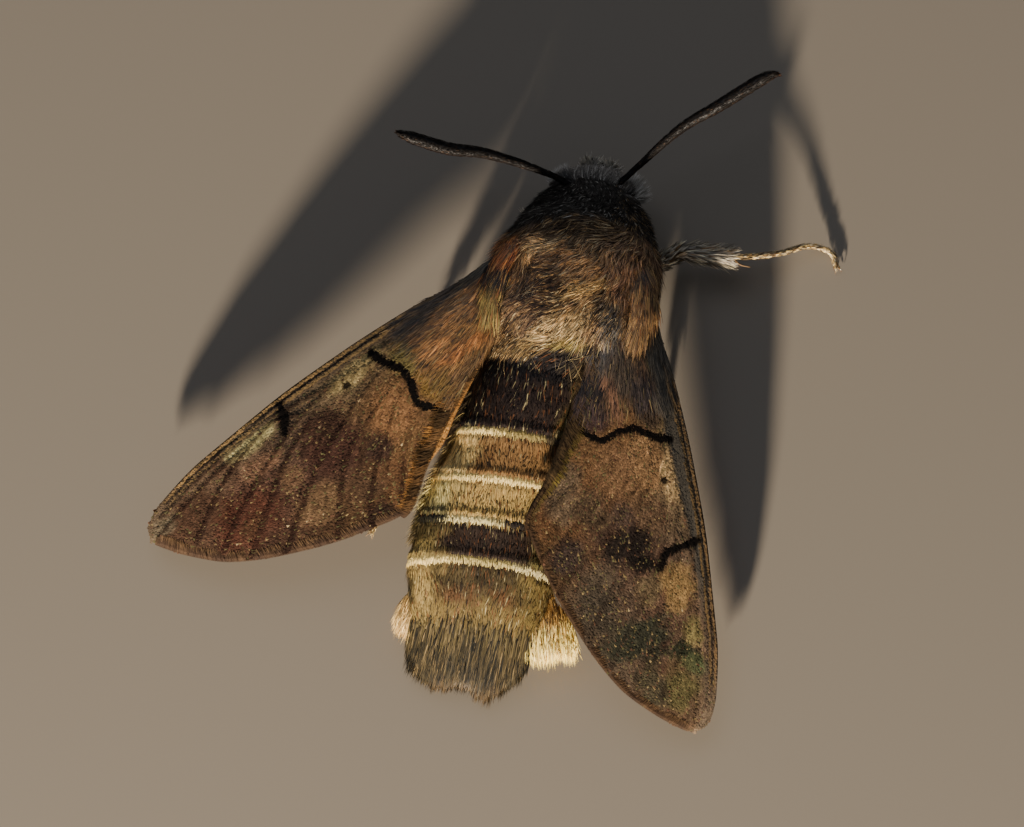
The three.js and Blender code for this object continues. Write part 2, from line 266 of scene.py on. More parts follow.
def curve_points(knots: list, count: int) -> Array:
    """Evenly spaced points on a smooth curve through the knots."""
    knots = np.asarray(knots, float)
    chords = np.concatenate([[0], np.cumsum(np.linalg.norm(np.diff(knots, axis=0), axis=1) ** 0.5)])
    padded = np.vstack([2 * knots[0] - knots[1], knots, 2 * knots[-1] - knots[-2]])
    places = np.concatenate([[-chords[1]], chords, [2 * chords[-1] - chords[-2]]])
    fine = np.linspace(0, chords[-1], count * 8)
    points = []
    for t in fine:
        i = min(max(np.searchsorted(places, t, side="right") - 1, 1), len(knots) - 1)
        p0, p1, p2, p3 = padded[i - 1:i + 3]
        t0, t1, t2, t3 = places[i - 1:i + 3]
        m1 = (t2 - t1) * ((p1 - p0) / (t1 - t0) - (p2 - p0) / (t2 - t0) + (p2 - p1) / (t2 - t1))
        m2 = (t2 - t1) * ((p2 - p1) / (t2 - t1) - (p3 - p1) / (t3 - t1) + (p3 - p2) / (t3 - t2))
        w = (t - t1) / (t2 - t1)
        points.append(p1 * (1 + 2 * w) * (1 - w) ** 2 + m1 * w * (1 - w) ** 2
                      + p2 * w * w * (3 - 2 * w) + m2 * w * w * (w - 1))
    points = np.array(points)
    run = np.concatenate([[0], np.cumsum(np.linalg.norm(np.diff(points, axis=0), axis=1))])
    even = np.linspace(0, run[-1], count)
    return np.column_stack([np.interp(even, run, points[:, k]) for k in range(3)])


def join_meshes(parts: list) -> tuple[Array, list]:
    """Puts several (points, faces) into one."""
    points, faces, count = [], [], 0
    for part_points, part_faces in parts:
        points.append(part_points)
        faces.extend(tuple(corner + count for corner in face) for face in part_faces)
        count += len(part_points)
    return np.vstack(points), faces


def hand_over(piece: Object, finish: "Finish", nodes: tuple = ()) -> None:
    """Gives a finished piece its material, its body and the nodes that it stands for."""
    if not piece.data.materials:
        piece.data.materials.append(finish.material())
    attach(piece, BODY)
    if nodes:
        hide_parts(*nodes)
    piece.data.calc_loop_triangles()
    log.info("%s: %d triangles", piece.name, len(piece.data.loop_triangles))


# ---- nodes and finishes

def add_node(tree: NodeTree, kind: str, settings: dict | None = None,
             links: dict | None = None) -> Node:
    """Adds a node with its settings and what feeds it.

    Args:
        tree: the tree that takes it.
        kind: the node's type.
        settings: its properties by name.
        links: by input name or number, an output socket to link or a value to set.

    Returns:
        The new node.
    """
    node = tree.nodes.new(kind)
    for name, value in (settings or {}).items():
        setattr(node, name, value)
    for socket, source in (links or {}).items():
        if isinstance(source, NodeSocket):
            tree.links.new(source, node.inputs[socket])
        else:
            node.inputs[socket].default_value = source
    return node


@dataclass(frozen=True)
class Finish:
    """A surface whose colour comes from the piece's own tint, with grain from its real texture.

    Sizes are in millimetres, and the shader's own values are typical ones for the substance.
    """

    name: str
    roughness: float = 0.6
    specular: float = 0.5
    coat: float = 0.0
    coat_roughness: float = 0.1
    gain: float = 1.0          # lightens or darkens the tint
    # root and tip darken each tuft at its root and lighten it at its tip: partly the hairs' own dark bases
    # and pale ends, partly painted shade deep in the coat and painted light on the tips.
    root: float = 1.0          # how light a tuft is at its root, for coats
    tip: float = 1.0           # how light it is at its tip
    uneven: float = 0.0        # how much one tuft's lightness differs from the next
    grain: float = 0.0         # width of the surface grain
    grain_depth: float = 0.0   # how strongly the grain shows in relief
    mottle: float = 0.0        # how much the colour varies with the grain
    facets: float = 0.0        # width of the eye's lenses

    def material(self) -> Material:
        """Builds the material once and returns it after that."""
        known = bpy.data.materials.get(self.name)
        if known:
            return known
        made = bpy.data.materials.new(self.name)
        made.use_nodes = True
        tree = made.node_tree
        shader = tree.nodes["Principled BSDF"]
        for socket, value in (("Roughness", self.roughness), ("Specular IOR Level", self.specular),
                              ("Coat Weight", self.coat), ("Coat Roughness", self.coat_roughness)):
            shader.inputs[socket].default_value = value
        tint = add_node(tree, "ShaderNodeAttribute", {"attribute_name": "tint"}).outputs["Color"]
        tree.links.new(self.shade(tree, tint), shader.inputs["Base Color"])
        if self.facets or self.grain_depth:
            tree.links.new(self.relief(tree), shader.inputs["Normal"])
        return made

    def shade(self, tree: NodeTree, tint: NodeSocket) -> NodeSocket:
        """Lightens and darkens the tint along a tuft, from tuft to tuft and over the grain.

        Args:
            tree: the material's nodes.
            tint: the piece's own colour.

        Returns:
            The finished colour.
        """
        add = partial(add_node, tree)
        ranges = [("along", self.root, self.tip)] if self.root != self.tip else []
        if self.uneven:
            ranges.append(("luck", 1 - self.uneven, 1 + self.uneven))
        factors = [self.gain] if self.gain != 1 else []
        for name, low, high in ranges:
            given = add("ShaderNodeAttribute", {"attribute_name": name}).outputs["Fac"]
            factors.append(add("ShaderNodeMapRange", None, {
                "Value": given, "To Min": low, "To Max": high}).outputs["Result"])
        if self.mottle:
            place = add("ShaderNodeTexCoord").outputs["Object"]
            cloud = add("ShaderNodeTexNoise", None, {
                "Vector": place, "Scale": 1 / (3 * self.grain * MM), "Detail": 3.0}).outputs["Fac"]
            factors.append(add("ShaderNodeMapRange", None, {
                "Value": cloud, "From Min": 0.3, "From Max": 0.7,
                "To Min": 1 - self.mottle, "To Max": 1 + self.mottle}).outputs["Result"])
        for factor in factors:
            tint = add("ShaderNodeVectorMath", {"operation": "SCALE"}, {
                "Vector": tint, "Scale": factor}).outputs["Vector"]
        return tint

    def relief(self, tree: NodeTree) -> NodeSocket:
        """The eye's lenses, or else the surface's grain, as relief."""
        add = partial(add_node, tree)
        place = add("ShaderNodeTexCoord").outputs["Object"]
        if self.facets:
            strength, depth = 0.5, 0.3 * self.facets
            height = add("ShaderNodeTexVoronoi", {"feature": "SMOOTH_F1"}, {
                "Vector": place, "Scale": 1 / (self.facets * MM), "Smoothness": 0.2,
                "Randomness": 0.25}).outputs["Distance"]
        else:
            strength, depth = self.grain_depth, self.grain
            height = add("ShaderNodeTexNoise", None, {
                "Vector": place, "Scale": 1 / (self.grain * MM), "Detail": 3.0}).outputs["Fac"]
        return add("ShaderNodeBump", {"invert": bool(self.facets)}, {
            "Strength": strength, "Distance": depth * MM, "Height": height}).outputs["Normal"]


# The moth's own cuticle under the fur: thin, tough chitin that gives a dull gleam between the hairs.
SKIN = Finish("moth cuticle", roughness=0.75, gain=0.35, grain=0.12, grain_depth=0.6, mottle=0.3)
# Hair-like scales of the thorax: ribbed chitin filaments with a silky gleam, dark at the root and light at
# the tip, partly as painted shade and painted light.
FUR = Finish("hair scales", roughness=0.45, specular=0.45, root=0.33, tip=1.45, uneven=0.6)
# The short black pile of head and collar: fine matt filaments, close as velvet.
PILE = Finish("black pile", roughness=0.62, specular=0.3, root=0.5, tip=1.2, uneven=0.45)
# The tail's brush: stiff dark scales, lighter at the tip, partly their own gold and partly painted light.
BRUSH = Finish("tail brush", roughness=0.5, specular=0.4, root=0.85, tip=1.25, uneven=0.4)
# Flat body scales: overlapping chitin blades, drier and more matt than the hair.
BODY_SCALE = Finish("body scales", roughness=0.6, specular=0.22, root=0.6, tip=1.15, uneven=0.22)
# Wing scales: fine ribbed blades laid like tiles, which glint where one tips up.
WING_SCALE = Finish("wing scales", roughness=0.7, specular=0.1, root=0.8, tip=1.1, uneven=0.16)
# Wing membrane: two thin layers of chitin stretched between the veins, slightly glossy.
MEMBRANE = Finish("wing membrane", roughness=0.65, specular=0.12, gain=0.85, grain=0.15, grain_depth=0.5,
                  mottle=0.35)
# Horn of the feelers, tongue and legs: dense tanned chitin with a low polish.
HORN = Finish("tanned chitin", roughness=0.55, specular=0.3, grain=0.05, grain_depth=0.4, mottle=0.25)
# The compound eye: clear domed lenses over dark pigment, so it is glossy and finely pebbled.
CORNEA = Finish("compound eye", roughness=0.3, specular=0.5, coat=0.4, coat_roughness=0.12, facets=0.05)


# ---- tufts and their planting

class Form(Enum):
    """The shape of one tuft; a hair's is sections of (place along it, half-width, how far over its chord)."""

    STRAND = ((0.0, 0.0, 0.0), (0.24, 0.9, 0.75), (0.68, 0.72, 0.85), (1.0, 0.0, 0.0))
    SPINDLE = ((0.0, 0.0, 0.0), (0.4, 1.0, 1.0), (1.0, 0.0, 0.0))
    SCALE = "blade"
    FAN = "fan"


@dataclass(frozen=True)
class Tuft:
    """One hair or scale, drawn along +X from its root; lengths in mm."""

    form: Form
    length: float
    width: float
    thick: float
    arch: float = 0.0
    sway: float = 0.14     # how far one turns from its place, in radians
    uneven: float = 0.12   # how far one's size differs

    def build(self) -> Object:
        """Makes the tuft as a hidden object with its place along and across as attributes."""
        shapes = {Form.SCALE: self.blade, Form.FAN: self.fan}
        points, faces, patch = shapes.get(self.form, self.spike)()
        name = f"{self.form.name.lower()} {self.length:g} by {self.width:g}"
        mesh = bpy.data.meshes.new(name)
        mesh.from_pydata((np.array(points) * MM).tolist(), [], faces)
        patch = np.array(patch)
        set_attribute(mesh, "along", patch[:, 0])
        set_attribute(mesh, "patch", np.column_stack([patch, np.zeros(len(patch))]))
        made = linked(name, mesh)
        made.hide_render = True
        return made

    def spike(self) -> tuple[list, list, list]:
        """A closed hair of three-sided rings between its root and its tip."""
        points, patch, rings = [], [], []
        for place, half, over in self.form.value:
            corners = HAIR_SIDES if half else 1
            rings.append([len(points) + k % corners for k in range(HAIR_SIDES)])
            for k in range(corners):
                turn = math.tau * (k + 0.25) / HAIR_SIDES
                points.append((place * self.length, math.cos(turn) * half * self.width / 2,
                               over * self.arch + math.sin(turn) * half * self.thick / 2))
                patch.append((place, k / (HAIR_SIDES - 1) if half else 0.5))
        faces = []
        for first, second in zip(rings, rings[1:]):
            for k in range(HAIR_SIDES):
                n = (k + 1) % HAIR_SIDES
                faces.append(tuple(dict.fromkeys((first[k], first[n], second[n], second[k]))))
        return points, faces, patch

    def blade(self) -> tuple[list, list, list]:
        """A closed blade with a narrow root, a ridge and a blunt end."""
        length, half, thick = self.length, self.width / 2, self.thick
        points = [(0, 0, 0), (0.6 * length, -half, self.arch), (length, -0.55 * half, 0),
                  (length, 0.55 * half, 0), (0.6 * length, half, self.arch),
                  (0.62 * length, 0, self.arch + thick)]
        patch = [(0, 0.5), (0.6, 0), (1, 0.2), (1, 0.8), (0.6, 1), (0.62, 0.5)]
        faces = [(0, 1, 5), (1, 2, 5), (2, 3, 5), (3, 4, 5), (4, 0, 5), (0, 2, 1), (0, 3, 2), (0, 4, 3)]
        return points, faces, patch

    def fan(self) -> tuple[list, list, list]:
        """A closed fan of four faces, widest at its end."""
        length, half = self.length, self.width / 2
        points = [(0, 0, 0), (length, -half, 0), (length, half, 0), (0.7 * length, 0, self.thick)]
        faces = [(0, 1, 3), (1, 2, 3), (2, 0, 3), (0, 2, 1)]
        return points, faces, [(0, 0.5), (1, 0), (1, 1), (0.7, 0.5)]


hair = partial(Tuft, Form.SPINDLE)     # the plain tapered hair of most of the coat


@dataclass
class Roots:
    """Where tufts grow, and how each one lies; all rows are in the moth's own millimetres."""

    place: Array
    lie: Array
    rise: Array
    size: Array
    tint: Array
    unwrap: Array

    @staticmethod
    def on(place: Array, lie: Array, rise: Array, lift: Array | float, size: Array | float,
           tint: Array | str, unwrap: Array) -> "Roots":
        """Roots on a surface.

        Args:
            place: the roots.
            lie: the way the coat is combed.
            rise: the way out of the surface.
            lift: the angle that the tufts stand off the surface at, in radians.
            size: each tuft's size over its pattern's.
            tint: each tuft's colour, or one hex code for all.
            unwrap: each root's place on the unwrapped surface, 0 to 1.

        Returns:
            The roots.
        """
        if isinstance(tint, str):
            tint = linear(tint) * np.ones((len(place), 1))
        rise = unit(rise)
        lie = unit(lie - rise * np.sum(lie * rise, axis=1, keepdims=True))
        lift = np.broadcast_to(np.asarray(lift, float), len(place))[:, None]
        ahead = lie * np.cos(lift) + rise * np.sin(lift)
        size = np.asarray(size, float)
        if size.ndim < 2:
            size = np.broadcast_to(size, len(place))[:, None] * np.ones(3)
        return Roots(place, ahead, rise, size, tint, unwrap)

    @staticmethod
    def together(several: list) -> "Roots":
        """All of several groups of roots as one."""
        columns = [[getattr(group, part.name) for group in several] for part in fields(Roots)]
        return Roots(*map(np.concatenate, columns))


class Planter:
    """Plants a tuft at every root by Geometry Nodes and returns the realized mesh."""

    INPUTS = (("Roots", "NodeSocketGeometry"), ("Tuft", "NodeSocketObject"), ("Sway", "NodeSocketFloat"),
              ("Uneven", "NodeSocketFloat"), ("Patch", "NodeSocketFloat"), ("Floor", "NodeSocketFloat"),
              ("Seed", "NodeSocketInt"), ("Finish", "NodeSocketMaterial"))

    def __init__(self) -> None:
        """Builds the tree."""
        self.tree = bpy.data.node_groups.new("plant tufts", "GeometryNodeTree")
        self.sockets = {}
        for name, kind in self.INPUTS:
            made = self.tree.interface.new_socket(name, in_out="INPUT", socket_type=kind)
            self.sockets[name] = made.identifier
        self.tree.interface.new_socket("Coat", in_out="OUTPUT", socket_type="NodeSocketGeometry")
        self.build()

    def build(self) -> None:
        """Lays out the nodes: points, instances, realized mesh, floor, unwrap and finish."""
        add = partial(add_node, self.tree)
        number, vector = {"data_type": "FLOAT"}, {"data_type": "FLOAT_VECTOR"}
        given = add("NodeGroupInput").outputs
        own = {name: add("GeometryNodeInputNamedAttribute", vector, {"Name": name}).outputs[0]
               for name in ("lie", "rise", "size", "patch", "unwrap")}
        vary = {}
        for name in ("Sway", "Uneven"):
            low = add("ShaderNodeMath", {"operation": "MULTIPLY"}, {0: given[name], 1: -1.0})
            vary[name] = add("FunctionNodeRandomValue", vector, {
                0: low.outputs[0], 1: given[name], "Seed": given["Seed"]}).outputs[0]
        luck = add("FunctionNodeRandomValue", number, {"Seed": given["Seed"]}).outputs[1]
        points = add("GeometryNodeMeshToPoints", None, {"Mesh": given["Roots"]}).outputs[0]
        points = add("GeometryNodeStoreNamedAttribute", {**number, "domain": "POINT"}, {
            "Geometry": points, "Name": "luck", "Value": luck}).outputs[0]
        sway = add("FunctionNodeEulerToRotation", None, {0: vary["Sway"]}).outputs[0]
        turn = add("FunctionNodeAxesToRotation", {"primary_axis": "X", "secondary_axis": "Z"}, {
            0: own["lie"], 1: own["rise"]}).outputs[0]
        turn = add("FunctionNodeRotateRotation", {"rotation_space": "LOCAL"}, {0: turn, 1: sway}).outputs[0]
        scale = add("ShaderNodeVectorMath", {"operation": "MULTIPLY_ADD"}, {
            0: own["size"], 1: vary["Uneven"], 2: own["size"]}).outputs[0]
        tuft = add("GeometryNodeObjectInfo", {"transform_space": "ORIGINAL"}, {
            "Object": given["Tuft"]}).outputs["Geometry"]
        coat = add("GeometryNodeInstanceOnPoints", None, {
            "Points": points, "Instance": tuft, "Rotation": turn, "Scale": scale}).outputs[0]
        coat = add("GeometryNodeRealizeInstances", None, {0: coat}).outputs[0]
        place = add("GeometryNodeInputPosition").outputs[0]
        lowest = add("ShaderNodeCombineXYZ", None, {"X": -1.0, "Y": -1.0, "Z": given["Floor"]}).outputs[0]
        place = add("ShaderNodeVectorMath", {"operation": "MAXIMUM"}, {0: place, 1: lowest}).outputs[0]
        coat = add("GeometryNodeSetPosition", None, {"Geometry": coat, "Position": place}).outputs[0]
        patch = add("ShaderNodeVectorMath", {"operation": "SCALE"}, {
            0: own["patch"], "Scale": given["Patch"]}).outputs[0]
        where = add("ShaderNodeVectorMath", {"operation": "ADD"}, {0: own["unwrap"], 1: patch}).outputs[0]
        coat = add("GeometryNodeStoreNamedAttribute", {"data_type": "FLOAT2", "domain": "CORNER"}, {
            "Geometry": coat, "Name": "OFBake", "Value": where}).outputs[0]
        coat = add("GeometryNodeSetMaterial", None, {
            "Geometry": coat, "Material": given["Finish"]}).outputs[0]
        for name in own:
            coat = add("GeometryNodeRemoveAttribute", None, {"Geometry": coat, "Name": name}).outputs[0]
        add("NodeGroupOutput", None, {0: coat})

    def plant(self, name: str, roots: Roots, tuft: Tuft, finish: Finish, seed: int, slot: str,
              nodes: tuple = ()) -> None:
        """Makes one coat piece, a plain mesh, and hands it over.

        Args:
            name: the piece's name.
            roots: where its tufts grow.
            tuft: the tuft planted at each.
            finish: the piece's finish.
            seed: fixes what is random.
            slot: not used.
            nodes: the nodes that it stands for.
        """
        source = new_mesh(name + " roots", roots.place, [])
        for key in ("lie", "rise", "size"):
            set_attribute(source.data, key, getattr(roots, key))
        set_attribute(source.data, "unwrap", np.column_stack([roots.unwrap, np.zeros(len(roots.place))]))
        set_tint(source.data, roots.tint)
        pattern = tuft.build()
        modifier = source.modifiers.new("plant", "NODES")
        modifier.node_group = self.tree
        values = {"Tuft": pattern, "Sway": tuft.sway, "Uneven": tuft.uneven, "Patch": PATCH,
                  "Floor": 0.01 * MM, "Seed": seed, "Finish": finish.material()}
        for key, value in values.items():
            modifier[self.sockets[key]] = value
        seen = source.evaluated_get(bpy.context.evaluated_depsgraph_get())
        mesh = bpy.data.meshes.new_from_object(seen)
        mesh.name = name
        piece = linked(name, mesh)
        for used in (source, pattern):
            data = used.data
            bpy.data.objects.remove(used)
            bpy.data.meshes.remove(data)
        hand_over(piece, finish, nodes)


# ---- surfaces that the coat grows on

class Surface:
    """A surface given by a point for each pair of coordinates, with tools to spread roots over it."""

    def point(self, along: Array, over: Array) -> Array:
        """The surface's point at each pair of coordinates."""
        raise NotImplementedError

    def outward(self, along: Array, over: Array) -> Array:
        """The unit normal at each pair of coordinates."""
        small = 0.004
        ahead = self.point(along + small, over) - self.point(along - small, over)
        aside = self.point(along, over + small) - self.point(along, over - small)
        return unit(np.cross(ahead, aside))

    def spread(self, count: int, along: tuple, over: tuple, draw: Generator,
               thick: Callable | None = None) -> tuple[Array, Array]:
        """Spreads places evenly by area over a stretch of the surface.

        Args:
            count: how many places.
            along: the stretch of the first coordinate.
            over: the stretch of the second.
            draw: the source of what is random.
            thick: a function of both coordinates that says how dense the places are.

        Returns:
            Both coordinates of every place.
        """
        rows, columns = 220, 140
        tall, wide = (along[1] - along[0]) / rows, (over[1] - over[0]) / columns
        a, o = crossings(along[0] + tall * (np.arange(rows) + 0.5),
                         over[0] + wide * (np.arange(columns) + 0.5))
        down = self.point(a + tall / 2, o) - self.point(a - tall / 2, o)
        across = self.point(a, o + wide / 2) - self.point(a, o - wide / 2)
        weight = np.linalg.norm(np.cross(down, across), axis=1)
        if thick is not None:
            weight = weight * thick(a, o)
        total = np.cumsum(weight)
        at = (np.arange(count) + draw.random(count)) / count * total[-1]
        cell = np.minimum(np.searchsorted(total, at), len(a) - 1)
        return (a[cell] + (draw.random(count) - 0.5) * tall, o[cell] + (draw.random(count) - 0.5) * wide)


@dataclass(frozen=True)
class Spot:
    """A soft-edged oval of colour, seen from above; sizes in mm, turn in degrees from +Y towards -X."""

    colour: str
    x: float
    y: float
    wide: float
    long: float
    turn: float = 0.0
    share: float = 1.0

    def cover(self, x: Array, y: Array, ragged: Array) -> Array:
        """How much of the spot's colour each place takes, 0 to its share."""
        turn = math.radians(self.turn)
        dx, dy = x - self.x, y - self.y
        along = -math.sin(turn) * dx + math.cos(turn) * dy
        across = math.cos(turn) * dx + math.sin(turn) * dy
        far = np.hypot(along / self.long, across / self.wide) + 0.18 * ragged
        return self.share * step(1.35, 0.6, far)


def fleck(colours: Array, draw: Generator, *kinds: tuple) -> Array:
    """Turns some tufts another colour.

    Args:
        colours: each tuft's colour, changed in place.
        draw: the source of what is random.
        kinds: rows of a hex colour and the share of the tufts, or each one's chance.

    Returns:
        The same colours.
    """
    for code, chance in kinds:
        hit = draw.random(len(colours)) < chance
        strength = 0.55 + 0.45 * draw.random(int(hit.sum()))
        colours[hit] = mix(colours[hit], code, strength)
    return colours


@dataclass
class Trunk(Surface):
    """Head, thorax and abdomen: one skin, and the markings and lie of the coat that grows from it.

    The first coordinate is Y along the moth, the second the angle round it from its right side over its back.
    """

    stations: tuple = (
        (5.62, 0.0, 3.4, 3.4), (5.55, 0.75, 4.15, 2.7), (5.3, 1.3, 4.65, 2.2), (4.8, 1.75, 5.0, 1.95),
        (4.3, 2.1, 5.25, 1.95), (3.6, 2.68, 5.65, 2.1), (2.2, 3.38, 6.35, 1.95), (0.2, 4.0, 6.75, 1.75),
        (-2.0, 3.75, 6.55, 1.75), (-4.3, 3.05, 5.8, 1.75), (-5.2, 2.95, 5.55, 1.6), (-6.4, 2.95, 5.5, 1.3),
        (-8.8, 2.95, 5.15, 0.8), (-12.0, 3.4, 4.7, 0.3), (-15.0, 3.6, 4.2, 0.2), (-18.0, 3.25, 3.15, 0.2),
        (-19.4, 2.6, 2.2, 0.25), (-20.2, 1.6, 1.5, 0.3), (-20.6, 0.0, 0.9, 0.9))
    line: tuple = (
        (5.0, 0.12, 0.0), (2.2, 0.15, 0.0), (0.2, 0.0, 0.0), (-2.0, -0.1, 0.0), (-4.3, -0.35, 0.0),
        (-6.4, -0.8, 3.0), (-8.8, -1.05, 5.0), (-12.0, -1.4, 7.0), (-15.0, -1.3, 6.0), (-19.6, -0.9, 6.0))
    rings: tuple = (-5.9, -8.95, -11.35, -13.5, -15.5)
    ring_lead: float = 0.48      # how far the fringes root in front of a ring's rear edge
    nodes: tuple = ("head", "collar", "thorax", "abdomen_1", "abdomen_2", "abdomen_3", "abdomen_4",
                    "abdomen_5", "abdomen_6", "abdomen_7")
    spots: tuple = (
        Spot("b79a76", 0.9, 1.0, 2.0, 1.3, 60),             # warm middle of the shoulders
        Spot("54432f", 0.2, 2.35, 3.2, 0.5, 0, 0.8),        # dusky band behind the collar
        Spot("b69478", 2.6, 1.0, 1.0, 1.6, 0, 0.8),         # brown right side
        Spot("4a3627", -0.9, -1.2, 1.15, 1.3, 15, 0.9),     # dark brown saddle
        Spot("ffdfa8", -1.8, 0.75, 0.36, 1.3, -62),         # pale streak behind the left of the collar
        Spot("e3a97a", -3.8, 0.7, 0.65, 0.75, -20, 0.9),    # rusty left shoulder
        Spot("1d150f", -2.0, 0.0, 0.35, 0.4, 0, 0.9),       # small dark pit
        Spot("1f1914", -3.7, -1.7, 0.6, 1.5, 8, 0.9),       # charcoal left side
        Spot("7c5f3c", -2.6, -3.8, 0.7, 1.0, 10, 0.9),      # brown left of the rear
        Spot("dfc38a", 0.9, -0.7, 0.4, 1.3, -55, 0.8),      # long pale strokes across the middle
        Spot("dbbf8a", -0.2, -3.0, 0.6, 2.3, -51, 0.9),
        Spot("8c7345", -1.4, -4.2, 1.3, 0.7, 0, 0.9),       # golden rear edge
        Spot("a3904e", 0.9, -3.7, 0.9, 0.7, 0, 0.95),
        Spot("74716c", 2.35, -2.0, 0.55, 1.2, 12, 0.95),    # slate patch by the right wing
        Spot("ad845e", 3.7, -2.0, 0.6, 1.7, 0, 0.9))        # foxy right wing root

    def point(self, along: Array, over: Array) -> Array:
        """The skin's point."""
        half, top, bottom = smooth_rows(self.stations, along).T
        x, turn = smooth_rows(self.line, along).T
        across = half * np.cos(over)
        return beside(x + across, along + np.tan(np.radians(turn)) * across,
                      (top + bottom) / 2 + (top - bottom) / 2 * np.sin(over))

    def bow(self, along: Array, over: Array) -> Array:
        """How far a ring's edge sweeps forward of its middle at the sides; most near the tail."""
        return (0.02 + 0.3 * step(-13.5, -15.5, along)) * np.cos(over) ** 2

    def unwrap(self, along: Array, over: Array, reach: tuple) -> Array:
        """The place on a cylinder's unwrap of the stretch of skin from reach[0] to reach[1]."""
        u = np.mod(over + math.pi / 2, math.tau) / math.tau
        v = (along - reach[0]) / (reach[1] - reach[0])
        return beside(0.005 + 0.985 * u, 0.005 + 0.985 * np.clip(v, 0, 1))

    def collar_edge(self, x: Array) -> Array:
        """Where the black collar ends behind, at each X."""
        return 2.72 - 0.072 * x * x + 0.097 * x

    def waist(self, x: Array) -> Array:
        """Where the thorax's hair is rooted last, at each X: further back on the left."""
        return -4.4 + 0.45 * np.maximum(x + 1.0, 0)

    def lap(self, along: Array, over: Array) -> Array:
        """How far each ring of the abdomen stands over the next towards its rear edge."""
        place = along + self.bow(along, over)
        rise = np.zeros(len(along))
        edges = (-3.2, *self.rings)
        for first, last in zip(edges, edges[1:]):
            inside = (place <= first) & (place > last)
            rise[inside] = (first - place[inside]) / (first - last)
        return 0.12 * rise ** 2

    def colours(self, along: Array, over: Array, draw: Generator | None = None) -> Array:
        """The coat's colours.

        Args:
            along: Y along the skin.
            over: the angle round it.
            draw: if given, single tufts are flecked.

        Returns:
            One colour for each place.
        """
        place = self.point(along, over)
        x, y = place[:, 0], place[:, 1]
        ragged = ripple(place, 1.0, 11) + 0.5 * ripple(place, 0.4, 12)
        upper = step(-0.35, 0.15, np.sin(over) + 0.12 * ragged)
        thorax = "8b6f53"
        for spot in self.spots:
            thorax = mix(thorax, spot.colour, spot.cover(x, y, ragged))
        collar = mix("4f4a43", "857d71", step(4.9, 5.4, y + 0.15 * ragged - 0.2 * np.sin(over)))
        front = step(-0.25, 0.3, y - self.collar_edge(x) + 0.22 * ragged)
        rear = step(0.2, -0.2, along - self.waist(x) + 0.18 * ragged)
        tint = mix(thorax, collar, front)
        tint = mix(tint, self.abdomen(along, over, ragged), rear)
        below = mix("8b8173", "b6ab98", step(-0.6, 0.6, ragged))
        tint = mix(below, tint, np.clip(upper + 0.9 * step(4.4, 5.0, y), 0, 1))
        if draw is not None:
            on_thorax = (1 - front) * (1 - rear) * upper
            # The tan mask marks the collar's right side, where the tan flecks are painted glints; the
            # thorax's pale flecks and the collar's silver ones are partly light hairs, partly painted glints.
            tan = front * upper * step(0.6, 2.6, x + 0.5 * ragged)
            fleck(tint, draw, ("c8a26c", 0.2 * on_thorax), ("1c1410", 0.38 * on_thorax),
                  ("ecd8a8", 0.07 * on_thorax), ("c4beb0", 0.08 * front * upper),
                  ("1a1714", 0.3 * front * upper), ("b89868", 0.16 * tan),
                  ("6f4628", 0.08 * rear * upper), ("1a1512", 0.12 * rear * upper),
                  ("b5a678", 0.03 * rear * upper))
        return tint

    def abdomen(self, along: Array, over: Array, ragged: Array) -> Array:
        """The colours of the abdomen's rings: middle, left side and right side of each."""
        # The left sides of the third and fourth rows are the moth's own cream, painted lighter still as
        # painted light on that flank.
        rings = (("221d1c", "1c1715", "5a4c2e"), ("2c211c", "1f1815", "6e5f36"),
                 ("8c6a40", "ffe094", "5a4c34"), ("bc9e5e", "ecdc94", "b09a5c"),
                 ("33271f", "ac965a", "7a6f40"), ("4e4228", "a89058", "7d6b3c"))
        across = np.cos(over)
        place = along + self.bow(along, over) - self.ring_lead
        edges = (*self.rings, -30.0)
        tint = np.zeros((len(along), 3))
        last = np.full(len(along), 30.0)
        for (middle, left, right), edge in zip(rings, edges):
            inside = (place <= last) & (place > edge)
            tone = mix(middle, left, step(-0.45, -0.85, across + 0.12 * ragged))
            tone = mix(tone, right, step(0.45, 0.85, across + 0.12 * ragged))
            tint[inside] = tone[inside]
            last = np.full(len(along), edge)
        black = step(-0.5, -0.75, across + 0.15 * ragged) * step(-12.6, -13.0, place)
        black = black * step(-14.7, -14.2, place)
        black = black + step(-0.86, -0.95, across) * step(-15.9, -16.3, place) * step(-17.6, -17.2, place)
        dark = step(-15.6, -15.9, place) * step(-17.0, -16.5, place) * step(0.6, 0.15, np.abs(across + 0.1))
        tint = mix(tint, "2e2616", 0.75 * dark * step(-0.8, 0.3, ragged))
        rust = step(-16.5, -16.9, place) * step(-17.6, -17.2, place) * step(0.7, 0.4, np.abs(across))
        tint = mix(tint, "6a482c", 0.65 * rust * step(-0.6, 0.3, ragged))
        gold = step(-17.1, -17.7, place + 0.2 * ragged) * step(0.9, 0.6, np.abs(across))
        tint = mix(mix(tint, "7a6638", 0.8 * gold), "1b1a12", 0.8 * black)
        return mix(tint, "5a4d30", step(-18.2, -19.2, along + 0.35 * ragged))

    def combed(self, along: Array, over: Array) -> Array:
        """The way that the coat is combed: back, and across to the left over the thorax."""
        place = self.point(along, over)
        x, y = place[:, 0], place[:, 1]
        turn = np.radians(6) * step(-5, -11, y)
        saddle = np.exp(-((x + 0.3) / 2.3) ** 2) * step(4.2, 3.0, y) * step(-5.4, -4.4, y)
        saddle = saddle * step(0, 0.5, np.sin(over))
        turn = turn - np.radians(52) * saddle
        turn = turn + np.radians(18) * ripple(place, 1.1, 21) * (1 + step(-4.5, -3, y))
        back = beside(np.sin(turn), -np.cos(turn), 0)
        fan = step(4.95, 5.35, y)[:, None]
        forward = unit(beside(0.9 * x, 1.2, 0.6 * np.sin(over)))
        return unit(back * (1 - fan) + forward * fan)

